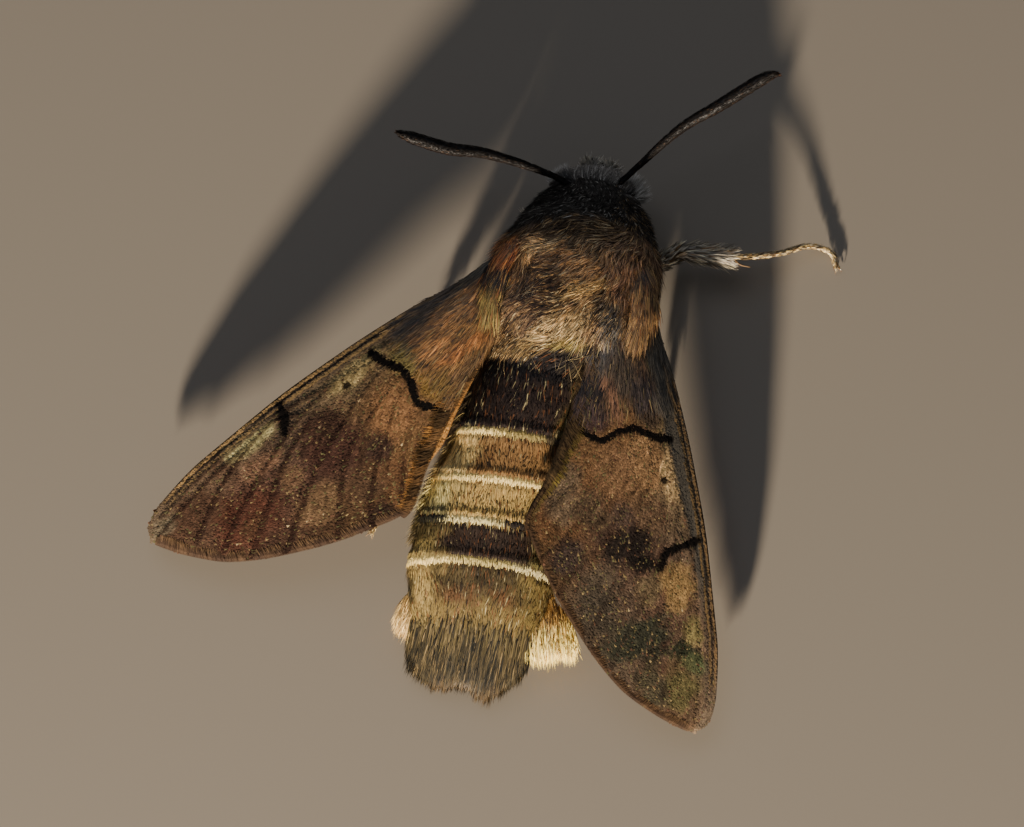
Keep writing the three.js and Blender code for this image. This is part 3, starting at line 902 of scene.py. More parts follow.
    def skin(self) -> Object:
        """Makes the closed skin, with each ring of the abdomen lapping the next."""
        ease = (1 - np.cos(np.linspace(0, math.pi, 26)[1:13])) / 2
        front, rear = self.stations[0][0], self.stations[-1][0]
        along = np.concatenate([front - 1.2 * ease, np.arange(front - 0.75, rear + 0.75, -0.16),
                                (rear + 1.2 * ease)[::-1]])
        along = np.unique(np.round(along, 3))[::-1]
        columns = 96
        over = np.arange(columns) * math.tau / columns
        a, o = crossings(along, over)
        points = self.point(a, o)
        points = points + self.outward(a, o) * self.lap(a, o)[:, None]
        points = np.vstack([points, self.point(np.array([front, rear]), np.zeros(2))])
        points[:, 2] = np.maximum(points[:, 2], 0.03)
        piece = new_mesh("body_skin", points, capped_faces(len(along), columns))
        tints = self.colours(np.append(a, [front, rear]), np.append(o, [0, 0]))
        set_tint(piece.data, tints)
        return piece

    def grow(self, count: int, along: tuple, over: tuple, lift: float, size: float, seed: int,
             thick: Callable | None = None) -> Roots:
        """Spreads roots over a stretch of the skin with its markings and lie."""
        draw = default_rng(seed)
        a, o = self.spread(count, along, over, draw, thick)
        place = self.point(a, o) + self.outward(a, o) * self.lap(a, o)[:, None]
        lifts = np.abs(lift * (0.6 + 0.8 * draw.random(count)))
        sizes = size * (0.75 + 0.5 * draw.random(count))
        return Roots.on(place, self.combed(a, o), self.outward(a, o), lifts, sizes,
                        self.colours(a, o, draw), self.unwrap(a, o, along))

    def forelock(self) -> Roots:
        """The fine grey hairs that stand forward over the face and palps."""
        draw = default_rng(37)
        count = 3000
        a, o = self.spread(count, (4.75, 5.5), (0.12, math.pi - 0.12), draw)
        place = self.point(a, o)
        lie = beside(0.55 * place[:, 0], 1.3, 0.1) + 0.25 * draw.normal(size=(count, 3))
        tint = mix("686259", "958e82", step(4.8, 5.3, a + 0.2 * draw.normal(size=count)))
        fleck(tint, draw, ("4a443c", 0.25), ("d2cbbd", 0.1))
        return Roots.on(place, lie, self.outward(a, o), 0.3 + 0.3 * draw.random(count),
                        0.7 + 0.6 * draw.random(count), tint, self.unwrap(a, o, (4.7, 5.6)))

    def margin(self, ring: float, tones: tuple, seed: int) -> Roots:
        """The fringe of one ring of the abdomen: crisp pale scales, and the dark ones that lap their roots.

        Args:
            ring: Y of the ring's rear edge.
            tones: hex colours on the left, over the back and on the right, and where each gives way across.
            seed: fixes what is random.

        Returns:
            The roots of its three rows.
        """
        draw = default_rng(seed)
        groups = []
        count = 420
        left, middle, right = tones[:3]
        for row, ahead in enumerate((0.10, 0.02, 0.40)):
            over = -0.35 + (math.pi + 0.7) * (np.arange(count) + draw.random(count)) / count
            across = np.cos(over)
            along = ring + self.ring_lead + ahead + 0.03 * draw.normal(size=count)
            along = along - self.bow(along, over)
            fray = across + 0.1 * draw.normal(size=count)
            tint = mix(middle, left, step(tones[3] + 0.08, tones[3] - 0.08, fray))
            tint = mix(tint, right, step(tones[4] - 0.08, tones[4] + 0.08, fray))
            # Painted shade: the row that laps the pale scales' roots takes the ring's own colours, darkened
            # to 0.85 for the shade just ahead of the band.
            if row == 2:
                tint = self.colours(along + 0.1, over, draw) * 0.85
            high = self.lap(along, over) + (0.1 if row == 2 else 0.07)
            place = self.point(along, over) + self.outward(along, over) * high[:, None]
            size = beside(1 + 0.1 * draw.normal(size=count), 1, 1)
            lie = self.combed(along, over) * [0.3, 1, 1]
            groups.append(Roots.on(place, lie, self.outward(along, over), 0.04, size, tint,
                                   self.unwrap(along, over, (ring - 1, ring + 1))))
        return Roots.together(groups)

    def margins(self) -> Roots:
        """The fringes of all the rings."""
        cream, dark = "f4da8c", "2a241f"
        tones = ((cream, "93824e", "3f3524", -0.28, 0.45), (cream, cream, cream, -0.5, 0.5),
                 ("26231a", "d6c68c", dark, -0.6, 0.14), (cream, "b8a668", "d8c890", -0.45, 0.45))
        return Roots.together([self.margin(ring, tone, 40 + i)
                               for i, (ring, tone) in enumerate(zip(self.rings[1:5], tones))])

    def tail(self) -> Roots:
        """The tail's brush of long scales: flat, blunt, and with a low lobe right of its middle."""
        draw = default_rng(51)
        count = 10000
        a, o = self.spread(count, (-20.5, -17.3), (0, math.tau), draw, lambda a, o: step(-17.2, -19.0, a))
        place = self.point(a, o) - self.outward(a, o) * (0.1 * step(-20.0, -18.8, a))[:, None]
        middle, turn = smooth_rows(self.line, a).T
        u = np.clip((place[:, 0] - middle) / 2.7 + 0.05 * draw.normal(size=count), -1, 1)
        rear = (-21.55 + np.where(u < 0, 0.5, 1.0) * u ** 6 - 0.45 * np.exp(-((u - 0.42) / 0.22) ** 2)
                + 0.22 * ripple(beside(u, 0), 0.2, 54))
        end = beside(middle + 2.95 * u, rear + np.tan(np.radians(turn)) * 2.95 * u)
        away = end - place[:, :2]
        reach = np.minimum(np.hypot(*away.T), 2.1) * (0.75 + 0.27 * draw.random(count))
        over = np.sin(o)
        rise = beside(0.35 * np.cos(o), 0, np.where(over > 0, 1.0, -1.0))
        lift = np.where(over > 0, -0.26 - 0.1 * over * step(-18.8, -20.0, a), 0.0)
        lift = lift + 0.09 * draw.normal(size=count)
        swell = ripple(place, 0.6, 53)
        colours = mix("1f1e17", "403824", step(-0.6, 0.7, swell))
        colours = mix(colours, "765a38", 0.55 * step(-19.7, -20.4, a + 0.25 * swell))
        colours = mix(colours, "74643a", 0.6 * step(-18.5, -17.7, a + 0.3 * swell))
        fleck(colours, draw, ("8c7650", 0.1), ("15130e", 0.34), ("5e5034", 0.2))
        size = beside(reach / 1.8, 1, 1)
        return Roots.on(place, np.pad(away, ((0, 0), (0, 1))), rise, lift, size, colours,
                        self.unwrap(a, o, (-20.6, -17.2)))

    def flank(self, side: Side) -> Roots:
        """The tuft of long scales at one side of the abdomen's end: tan above its root, cream behind."""
        draw = default_rng(61 + side.value)
        right = side is Side.RIGHT
        shape = (3.85, -17.7, 1.45, 1.35, 1.75, 20) if right else (2.95, -18.1, 1.4, 0.95, 1.6, 8)
        out, y, z, wide, long, turn = shape
        count = 3800
        back = draw.uniform(-1.5 if right else -1.0, 0.5, count)
        across, over = draw.uniform(-0.95, 0.95, count), draw.uniform(-1, 1, count)
        full = np.where(back < 0, np.sqrt(np.maximum(1 - back ** 2, 0.1)), 1)
        turn = math.radians(turn) * side.value
        x, run = wide * across * full, long * back
        middle = read(tuple(row[:2] for row in self.line), np.array([y]))[0] + side.value * out
        place = beside(middle + math.cos(turn) * x + math.sin(turn) * run,
                       y + math.sin(turn) * x - math.cos(turn) * run, z + 0.6 * over * full - 0.3 * back)
        way = turn * 0.8 + 0.14 * across + 0.2 * ripple(place, 0.6, 63)
        lie = beside(np.sin(way), -np.cos(way), 0)
        ragged = 1 + 0.22 * ripple(beside(across, 0.4 * over), 0.5, 66)
        reach = np.clip((1.0 - 0.25 * across ** 4 - back) * long, 0.2, 1.5)
        reach = reach * (0.6 + 0.4 * draw.random(count)) * ragged
        tan = step(-0.2, -0.65, back + 0.2 * ripple(place, 0.8, 64))
        cream = "ffe98a" if right else "d8b674"
        colours = mix(cream, "b08a4a", tan)
        fleck(colours, draw, ("f6dc98", 0.2 * (1 - tan)), ("8a6a3c", 0.12), ("4a3822", 0.1 * tan))
        size = beside(reach / 1.3, 1, 1)
        rise = beside(0.3 * across, 0, np.where(over > -0.2, 1.0, -1.0))
        return Roots.on(place, lie, rise, -0.14 + 0.1 * draw.normal(size=count), size, colours,
                        beside(0.5 + 0.48 * across, 0.34 + 0.32 * back))

    def fuzz(self) -> Roots:
        """The brown hair that stands out of the abdomen's left side, under the wing, darkened partly as
        painted shade.
        """
        draw = default_rng(57)
        count = 1500
        a, o = self.spread(count, (-14.2, -6.5), (math.pi - 0.3, math.pi + 0.35), draw)
        place = self.point(a, o)
        lie = beside(-0.5 - 0.5 * draw.random(count), -1, 0)
        # Darkened towards 4a3d28: partly the hair's own brown, partly painted shade under the wing.
        tint = mix(self.colours(a, o), "4a3d28", 0.5 + 0.4 * ripple(place, 0.8, 58))
        return Roots.on(place, lie, self.outward(a, o), 0.45 + 0.3 * draw.random(count),
                        0.6 + 0.6 * draw.random(count), fleck(tint, draw, ("a08a54", 0.15), ("1c1712", 0.15)),
                        self.unwrap(a, o, (-14.3, -6.4)))

    def wisps(self) -> Roots:
        """Stray long hairs that cross the waist from the thorax's rear edge."""
        draw = default_rng(56)
        count = 50
        a, o = self.spread(count, (-4.6, -2.6), (0.6, 2.7), draw)
        place = self.point(a, o)
        way = draw.normal(size=count) * 0.7 - 0.35
        lie = beside(np.sin(way), -np.cos(way), 0)
        size = 0.6 + 0.7 * draw.random(count)
        return Roots.on(place, lie, self.outward(a, o), 0.12 + 0.2 * draw.random(count), size,
                        "93805a", self.unwrap(a, o, (-4.7, -2.5)))

    def tegula(self, side: Side) -> Roots:
        """The lobe of long hair over the root of one pair of wings."""
        draw = default_rng(71 + side.value)
        count = 5000
        sign = side.value
        along, across = draw.random(count), draw.normal(size=count).clip(-2, 2) / 2
        turn = math.radians(9) * sign
        y = 1.3 - (3.3 if sign > 0 else 3.7) * along
        x = sign * (3.2 + 0.62 * step(0.0, 0.7, along)) + (0.42 + 0.16 * np.sin(along * math.pi)) * across
        z = (5.75 + 0.42 * np.sin(along ** 0.8 * math.pi) - 0.5 * across * across
             - 0.25 * sign * across - 0.35 * along ** 2)
        place = beside(x, y, z)
        out = turn - math.radians(16) * (along - 0.3) * sign + 0.2 * ripple(place, 0.9, 73)
        lie = beside(np.sin(out), -np.cos(out), -0.16)
        rise = beside(0.5 * across + 0.25 * sign, 0.2 * (0.5 - along), 1)
        swell = ripple(place, 0.9, 74)
        left = mix("b8713a", "221c18", step(0.16, 0.36, along + 0.15 * swell))
        left = mix(left, "8c7c46", step(0.55, 0.85, along + 0.2 * swell))
        right = mix("7d6142", "835f3c", step(0.4, 0.8, along + 0.25 * across))
        right = mix(right, "b08c56", 0.7 * step(0.3, 0.8, swell))
        right = mix(right, "7a6246", 0.85 * step(0.45, 0.85, along + 0.15 * swell))
        colours = (left if sign < 0 else right) * np.ones((count, 1))
        fleck(colours, draw, ("b8935a", 0.22), ("231710", 0.25), ("84502c", 0.1))
        size = (0.8 + 0.4 * draw.random(count)
                + 0.5 * draw.normal(size=count).clip(-1, 1) * step(0.7, 1.0, along))
        return Roots.on(place, lie, rise, 0.1 + 0.12 * draw.random(count), size, colours,
                        beside(0.01 + 0.97 * along, 0.5 + 0.24 * across))

    def build(self, planter: Planter) -> None:
        """Makes the skin and every coat piece of the body."""
        hand_over(self.skin(), SKIN, self.nodes)
        turn = math.tau
        upper = (-0.5, math.pi + 0.5)
        lower = (math.pi + 0.35, turn - 0.35)
        eyes = EyePair()
        pile = hair(0.42, 0.042, 0.03, 0.04)
        coats = (
            ("coat_head", self.grow(8500, (4.1, 5.58), (0, turn), 0.4, 1.0, 31, eyes.bare), pile, PILE,
             "coat_head"),
            ("coat_forelock", self.forelock(), hair(0.62, 0.032, 0.025, 0.06), PILE, "coat_head"),
            *((f"coat_brow_{side.word}", eyes.brows(side, ("443f39", "857d71")), pile, PILE, "coat_head")
              for side in Side),
            *((f"coat_lash_{side.word}", eyes.lashes(side), hair(0.75, 0.028, 0.022, 0.05), PILE,
               "coat_head") for side in Side),
            ("coat_collar", self.grow(19500, (1.2, 4.6), (0, turn), 0.45, 1.0, 32, self.front_coat),
             hair(0.52, 0.05, 0.034, 0.05, sway=0.25), PILE, "coat_collar"),
            ("coat_thorax", self.grow(27500, (-4.8, 3.3), (-0.25, math.pi + 0.25), 0.3, 1.0, 33,
                                      self.back_coat),
             hair(0.85, 0.052, 0.035, 0.08, sway=0.26), FUR, "coat_thorax"),
            ("coat_breast", self.grow(4400, (-4.2, 3.6), (math.pi + 0.1, turn - 0.1), 0.3, 1.0, 34),
             hair(1.1, 0.125, 0.06, 0.1), FUR, "coat_thorax"),
            ("coat_side_hair", self.fuzz(), hair(0.75, 0.05, 0.03, 0.05), PILE, "coat_abdomen"),
            ("coat_wisps", self.wisps(), Tuft(Form.STRAND, 1.4, 0.016, 0.014, 0.2), FUR, "coat_thorax"),
            ("coat_abdomen_back", self.grow(26500, (-19.4, -3.4), upper, 0.09, 1.0, 35, self.rear_coat),
             hair(0.62, 0.068, 0.02, 0.03), BODY_SCALE, "coat_abdomen"),
            ("coat_abdomen_belly", self.grow(3000, (-19.5, -4.0), lower, 0.1, 1.0, 36),
             Tuft(Form.SCALE, 0.75, 0.29, 0.03, 0.04), BODY_SCALE, "coat_abdomen"),
            ("coat_abdomen_fringes", self.margins(), Tuft(Form.SCALE, 0.44, 0.07, 0.02, 0.02), BODY_SCALE,
             "coat_abdomen"),
            ("coat_tail", self.tail(), hair(1.8, 0.085, 0.04, 0.08, sway=0.1), BRUSH, "coat_tail",
             "tail_fan"),
            *((f"coat_flank_{side.word}", self.flank(side), hair(1.3, 0.066, 0.03, 0.06), BRUSH,
               "coat_flank", f"flank_tuft_{side.word}") for side in Side),
            *((f"coat_tegula_{side.word}", self.tegula(side), hair(1.15, 0.058, 0.035, 0.12, sway=0.18),
               FUR, "coat_thorax", f"tegula_{side.word}") for side in Side))
        for seed, (name, roots, tuft, finish, slot, *nodes) in enumerate(coats):
            planter.plant(name, roots, tuft, finish, 100 + seed, slot, tuple(nodes))

    def front_coat(self, along: Array, over: Array) -> Array:
        """How dense the collar's coat is: all of the skin in front of the collar's rear edge."""
        x = self.point(along, over)[:, 0]
        return step(-0.5, 0.1, along - self.collar_edge(x)) * (0.35 + 0.65 * step(-0.4, 0.2, np.sin(over)))

    def back_coat(self, along: Array, over: Array) -> Array:
        """How dense the thorax's coat is: all of it from the collar's edge to the waist."""
        x = self.point(along, over)[:, 0]
        return step(0.35, -0.2, along - self.collar_edge(x)) * step(-0.25, 0.25, along - self.waist(x)) * (
            0.4 + 0.6 * step(-0.1, 0.5, np.sin(over)))

    def rear_coat(self, along: Array, over: Array) -> Array:
        """How dense the abdomen's coat is: all of it behind the thorax's hair."""
        x = self.point(along, over)[:, 0]
        return (step(0.9, 0.3, along - self.waist(x)) * step(-19.4, -18.6, along)
                * (0.5 + 0.5 * step(0.0, 0.4, np.sin(over))))


# ---- the head's parts

@dataclass
class EyePair:
    """The two compound eyes, set into the sides of the head."""

    out: float = 1.38
    ahead: float = 4.5
    height: float = 3.3
    half: tuple = (0.9, 1.04, 1.15)

    def bare(self, along: Array, over: Array) -> Array:
        """How dense the head's coat is: none on the eyes, and finer on the face."""
        place = Trunk().point(along, over)
        far = [np.linalg.norm((place - [side.value * self.out, self.ahead, self.height]) / self.half, axis=1)
               for side in Side]
        return step(1.12, 1.36, np.minimum(*far)) * (0.7 + 0.6 * step(-0.2, 0.5, np.sin(over)))

    def place(self, side: Side, ball: Array, clear: float = 0.0) -> Array:
        """The place on one eye, or clear of it by some mm, in each direction of a unit ball."""
        return ball * (np.array(self.half) + clear) + [side.value * self.out, self.ahead, self.height]

    def lashes(self, side: Side) -> Roots:
        """The fan of pale hairs in front of one eye."""
        draw = default_rng(36 + side.value)
        count = 420
        turn = np.radians(draw.uniform(5, 75, count))
        up = draw.uniform(-0.2, 0.75, count)
        flat = np.sqrt(1 - up ** 2)
        ball = beside(side.value * flat * np.cos(turn), flat * np.sin(turn), up)
        place = self.place(side, ball)
        lie = ball + [0, 0.5, -0.2] + 0.2 * draw.normal(size=(count, 3))
        tint = mix("8d877b", "b9b3a6", draw.random(count))
        size = (0.6 + 0.6 * draw.random(count)) * (0.55 if side is Side.LEFT else 1.0)
        return Roots.on(place, lie, ball * [0.2, 0.2, 1] + [0, 0, 1.2], 0.1, size, tint,
                        beside(0.01 + 0.7 * turn, 0.3 + 0.6 * up))

    def brows(self, side: Side, colours: tuple) -> Roots:
        """The short pile that grows over the top of one eye, black with a grey front.

        Args:
            side: which eye.
            colours: hex codes of its black and of its grey.

        Returns:
            The roots.
        """
        draw = default_rng(38 + side.value)
        count = 2500
        turn = draw.random(count) * math.tau
        up = 0.52 + 0.48 * draw.random(count)
        flat = np.sqrt(1 - up ** 2)
        ball = beside(flat * np.cos(turn), flat * np.sin(turn), up)
        place = self.place(side, ball, 0.02)
        lie = beside(side.value * 0.7, np.where(ball[:, 1] > 0.25, 1.3, -0.9), -0.5)
        grey = step(0.15, 0.75, ball[:, 1] + 0.2 * ripple(place, 0.5, 39))
        tint = mix(colours[0], colours[1], grey)
        fleck(tint, draw, ("c4beb0", 0.05), ("1a1714", 0.3 * (1 - grey)))
        return Roots.on(place, lie, ball / self.half, 0.25 + 0.3 * draw.random(count),
                        0.6 + 0.5 * draw.random(count), tint,
                        beside(0.01 + 0.97 * turn / math.tau, 0.01 + 0.97 * up))

    def build(self) -> None:
        """Makes both eyes as domed ovals with darker patches, like a moth's."""
        rows, columns = 40, 56
        up = np.linspace(0, math.pi, rows)[1:-1]
        around = np.arange(columns) * math.tau / columns
        for side in Side:
            u, r = crossings(up, around)
            ball = beside(np.sin(u) * np.cos(r), np.sin(u) * np.sin(r), np.cos(u))
            ball = np.vstack([ball, [[0, 0, 1], [0, 0, -1]]])
            points = self.place(side, ball)
            faces = [face[::-1] for face in capped_faces(rows - 2, columns)]
            piece = new_mesh(f"eye_{side.word}_globe", points, faces)
            spots = np.zeros(len(points))
            for at in ((0.8, 0.35, 0.5), (0.9, -0.3, 0.35), (0.75, 0.05, -0.6), (0.6, 0.75, -0.2)):
                middle = unit(np.array(at) * [side.value, 1, 1])
                spots = np.maximum(spots, step(0.93, 0.985, ball @ middle))
            set_tint(piece.data, mix("2c1f15", "0a0706", 0.35 + 0.65 * spots))
            hand_over(piece, CORNEA, (f"eye_{side.word}",))


@dataclass
class Palps:
    """The two upturned palps in front of the face, clothed in close scales."""

    out: float = 0.46
    knots: tuple = ((1.0, 4.6, 1.8), (1.1, 5.4, 2.2), (1.1, 5.85, 3.05), (0.9, 5.8, 3.85))
    radii: tuple = ((0.0, 0.28), (0.33, 0.40), (0.66, 0.4), (0.9, 0.27), (1.0, 0.12))

    def build(self, planter: Planter) -> None:
        """Makes each palp's skin and its scales as one piece each."""
        for side in Side:
            knots = np.array(self.knots) * [self.out * side.value, 1, 1]
            path = curve_points(knots, 24)
            share = np.linspace(0, 1, 24)
            points, faces = sweep(path, read(self.radii, share), 20, 0.85)
            skin = new_mesh(f"palp_{side.word}_skin", points, faces)
            set_tint(skin.data, linear("d9d3c4") * np.ones((len(points), 1)))
            hand_over(skin, SKIN, (f"palp_{side.word}",))
            roots = scales_along(path, read(self.radii, share), 1500, 80 + side.value, 0.85, 0.42)
            draw = default_rng(85 + side.value)
            high = step(2.9, 3.9, roots.place[:, 2] + 0.2 * draw.normal(size=1500))
            roots.tint = fleck(mix("d9d3c4", "c8c1b2", high), draw, ("4a443c", 0.1))
            roots.size = roots.size * (1 + 0.5 * high)[:, None]
            roots.lie = unit(roots.lie + roots.rise * 0.5 * high[:, None])
            tuft = hair(0.42, 0.06, 0.04, 0.03, sway=0.25, uneven=0.15)
            planter.plant(f"coat_palp_{side.word}", roots, tuft, PILE, 88, "coat_palp")


def scales_along(path: Array, radii: Array, count: int, seed: int, flat: float, lift: float) -> Roots:
    """Roots all round a tube, with their tufts lying towards its end.

    Args:
        path: the tube's middle line.
        radii: its radius at each point of the line.
        count: how many roots.
        seed: fixes what is random.
        flat: the tube's height over its width.
        lift: how far the tufts stand off it, in radians.

    Returns:
        The roots.
    """
    draw = default_rng(seed)
    at = (np.arange(count) + draw.random(count)) / count * (len(path) - 1.001)
    i, part = at.astype(int), (at % 1)[:, None]
    middle = path[i] * (1 - part) + path[i + 1] * part
    ahead = unit(path[i + 1] - path[i])
    radius = radii[i] * (1 - part[:, 0]) + radii[i + 1] * part[:, 0]
    across = unit(np.cross(ahead, [0.0, 0.0, 1.0]) + 1e-6)
    over = np.cross(across, ahead)
    turn = draw.random(count) * math.tau
    rise = across * np.cos(turn)[:, None] + over * (flat * np.sin(turn))[:, None]
    place = middle + rise * radius[:, None]
    unwrap = beside(0.005 + 0.98 * at / len(path), 0.005 + 0.98 * turn / math.tau)
    return Roots.on(place, ahead, rise, lift * (0.6 + 0.8 * draw.random(count)),
                    0.75 + 0.5 * draw.random(count), np.zeros((count, 3)), unwrap)


@dataclass
class Tongue:
    """The long tongue, wound up like a watch spring under the face."""

    ahead: float = 5.2
    height: float = 2.15
    outer: float = 0.9
    inner: float = 0.3
    turns: float = 2.6

    def build(self) -> None:
        """Makes the coil with its fine rings and its stretch up to the mouth."""
        count = 260
        share = np.linspace(0, 1, count)
        turn = math.radians(150) - share * self.turns * math.tau
        far = self.outer + (self.inner - self.outer) * share ** 0.9
        coil = beside(0.02 * np.sin(turn), self.ahead + far * np.cos(turn), self.height + far * np.sin(turn))
        neck = np.array([[0, 4.45, 2.75], [0, 4.4, 2.68]])
        path = np.vstack([neck[:1] * 0.5 + coil[:1] * 0.5 + [[0, 0.02, 0.05]], coil])
        radii = np.concatenate([[0.14], 0.135 - 0.085 * share])
        radii = radii * (1 + 0.08 * np.cos(np.arange(count + 1) * math.pi / 2))
        points, faces = sweep(path, radii, 10)
        piece = new_mesh("tongue", points, faces)
        set_tint(piece.data, mix("6b4222", "2f1c10", np.repeat(np.arange(count + 1) % 4 == 2, 10)))
        hand_over(piece, HORN, ("proboscis",))


@dataclass
class Feelers:
    """The antennae: slim at the root, thickening to a club, with a fine hook at the tip."""

    left: tuple = ((-1.0, 4.4, 4.6), (-2.3, 4.7, 5.1), (-5.8, 4.72, 6.6), (-7.6, 4.4, 7.25), (-9.9, 4.4, 8.1))
    right: tuple = ((1.0, 5.0, 4.6), (1.75, 5.95, 5.1), (3.55, 8.25, 6.25), (5.15, 9.6, 7.1),
                    (7.5, 11.6, 8.1))
    hook: tuple = (0.3, 0.0, 0.22)
    radii: tuple = ((0.0, 0.17), (0.03, 0.13), (0.12, 0.135), (0.3, 0.19), (0.5, 0.25), (0.75, 0.31),
                    (0.9, 0.29), (0.96, 0.17), (1.0, 0.04))
    joints: int = 64

    def build(self, planter: Planter) -> None:
        """Makes each feeler's ringed shaft and the short scales on it."""
        for side, knots in ((Side.LEFT, self.left), (Side.RIGHT, self.right)):
            tip = np.array(knots[-1]) + np.array(self.hook) * [side.value, 1, 1]
            steps = 4
            path = curve_points([*knots, tip], self.joints * steps + 1)
            share = np.linspace(0, 1, len(path))
            saw = (np.arange(len(path)) % steps) / (steps - 1)
            radii = read(self.radii, share)
            points, faces = sweep(path, radii * (0.96 + 0.04 * saw), 14)
            piece = new_mesh(f"feeler_{side.word}", points, faces)
            middle = np.repeat(path, 14, axis=0)
            # Underside rust: partly the feeler's own colour, partly painted sunlight.
            below = step(0.1, -0.7, (points - middle)[:, 2] / np.repeat(radii, 14))
            tone = mix("120f0d", "5f3a22", 0.8 * below)
            set_tint(piece.data, tone)
            hand_over(piece, HORN, (f"antenna_{side.word}",))
            roots = scales_along(path, radii, 2200, 90 + side.value, 1.0, 0.12)
            # Rust on the scales' undersides: partly own colour, partly painted sunlight; cut to 0.4 on the
            # left feeler as painted shade.
            rust_and_sunlight = step(0.3, -0.7, roots.rise[:, 2]) * (0.4 if side is Side.LEFT else 1.0)
            roots.tint = mix("191512", "6b4227", 0.8 * rust_and_sunlight)
            fleck(roots.tint, default_rng(95), ("4a3a2e", 0.1), ("0f0c0a", 0.3))
            tuft = hair(0.2, 0.05, 0.02, 0.01, sway=0.0, uneven=0.2)
            planter.plant(f"coat_feeler_{side.word}", roots, tuft, WING_SCALE, 96, "antenna")


# ---- wings

def near_lines(points: Array, lines: tuple) -> Array:
    """Each place's distance from the nearest of several lines in the same plane."""
    best = np.full(len(points), np.inf)
    for line in lines:
        for first, second in zip(line, line[1:]):
            run = second - first
            t = np.clip((points - first) @ run / (run @ run), 0, 1)
            best = np.minimum(best, np.linalg.norm(points - first - t[:, None] * run, axis=1))
    return best


def flat_line(knots: tuple) -> Array:
    """A smooth line through knots in a wing's plane."""
    return curve_points([(a, b, 0.0) for a, b in knots], 12)[:, :2]


def tones(table: tuple, at: Array, share: Array) -> Array:
    """Colours that change along a wing and across it.

    Args:
        table: rows of (place along, hex colour in front, in the middle, behind).
        at: the place along, for each point.
        share: the place across, 0 in front to 1 behind.

    Returns:
        One colour for each point.
    """
    rows = [(row[0], *np.concatenate([linear(code) for code in row[1:]])) for row in table]
    bands = smooth_rows(rows, at)
    front, middle, rear = bands[:, :3], bands[:, 3:6], bands[:, 6:]
    return mix(mix(front, middle, step(0.1, 0.5, share)), rear, step(0.5, 0.9, share))


@dataclass(frozen=True)
class WingShape:
    """One kind of wing, on its own plane: A runs out from the root, B back from the front edge; mm."""

    name: str
    length: float
    lead: tuple
    trail: tuple
    veins: tuple
    fringe: float
    corner: float      # the share of its length where the rear margin turns from inner to outer
    tone: tuple


FORE = WingShape(
    name="forewing", length=22.85, fringe=0.42, corner=0.365,
    lead=((0, 0), (2.2, -0.1), (5.4, -0.66), (9.6, -1.15), (14, -1.4), (18.2, -1.38), (21, -1.05),
          (22.4, -0.5), (22.85, 0.4)),
    trail=((0, 1.7), (1.6, 2.6), (4.3, 3.8), (7.3, 4.95), (10, 6.35), (12.2, 7.6), (14.2, 7.2), (17.6, 5.75),
           (20.3, 4.05), (21.6, 2.6), (22.5, 1.2), (22.85, 0.4)),
    veins=tuple(flat_line(knots) for knots in (
        ((0.5, 0.3), (8, -0.5), (15.5, -1.15)), ((8.5, 0.35), (14, -0.7), (18.5, -1.15)),
        ((14, -0.75), (18, -0.75), (21.5, -0.4)), ((15.5, -0.4), (19, -0.2), (22.2, 0.4)),
        ((12.7, 0.2), (14.1, -0.5), (15.3, -0.4), (17.2, 0.1), (19, 0.8), (21, 1.9)),
        ((0.5, 0.6), (6, 0.3), (11.4, 0), (12.7, 0.2), (14.1, 0.5), (16.8, 1.5), (18.7, 2.3), (20.2, 3.2)),
        ((12.6, 0.7), (14.6, 1.4), (16.2, 2.3), (17.3, 3), (19.3, 4.3)),
        ((0.5, 1.0), (6, 1.2), (8.9, 1.1), (10.2, 1.4), (11.8, 2), (14.5, 3.2), (16.6, 4.5), (17.9, 5.4)),
        ((7.5, 1.9), (10.2, 2.5), (12, 3.2), (13, 3.9), (15, 6), (15.5, 6.6)),
        ((6.5, 2.2), (8.9, 2.9), (10.5, 4), (12, 5.1), (13.2, 6.4), (13.6, 7.1)),
        ((0.3, 1.4), (4, 2.5), (7.4, 3.6), (9.2, 4.4), (10.4, 5.3), (11.5, 6.6)))),
    tone=((0.0, "4a4232", "6b4f30", "6a5232"), (6.0, "544832", "6c4f30", "6a5032"),
          (10.0, "6e5c40", "64492f", "67492e"), (14.0, "5a4936", "4e382a", "46331f"),
          (18.0, "66503a", "4e3628", "402d20"), (22.85, "66553f", "52402c", "4a3826")))

HIND = WingShape(
    name="hindwing", length=12.4, fringe=0.4, corner=0.56,
    lead=((0, 0), (3, -0.5), (7, -0.9), (10.2, -0.7), (11.9, 0.1), (12.4, 1.3)),
    trail=((0, 1.2), (2.6, 2.4), (5.6, 3.9), (7.6, 5.0), (9.2, 5.3), (10.8, 4.4), (12, 2.7), (12.4, 1.3)),
    veins=tuple(flat_line(knots) for knots in (
        ((0.3, 0.3), (6, -0.4), (10.5, -0.4)), ((0.3, 0.6), (5, 0.6), (11.9, 0.8)),
        ((5, 0.6), (8, 1.3), (11.9, 1.9)), ((0.3, 0.8), (4.5, 2.2), (10.8, 3.6)),
        ((4.5, 2.2), (7, 3.8), (9.2, 4.7)), ((0.2, 1.0), (3.5, 2.9), (7.0, 4.7)))),
    tone=((0.0, "8a7450", "8a7450", "8a7450"), (4.0, "b87a3c", "bc7836", "a8824e"),
          (9.5, "b8743c", "c08040", "d09c58"), (12.4, "6a4526", "6a4526", "6a4526")))


def spots(*rows: tuple) -> tuple:
    """Spots from their plain values."""
    return tuple(Spot(*row) for row in rows)


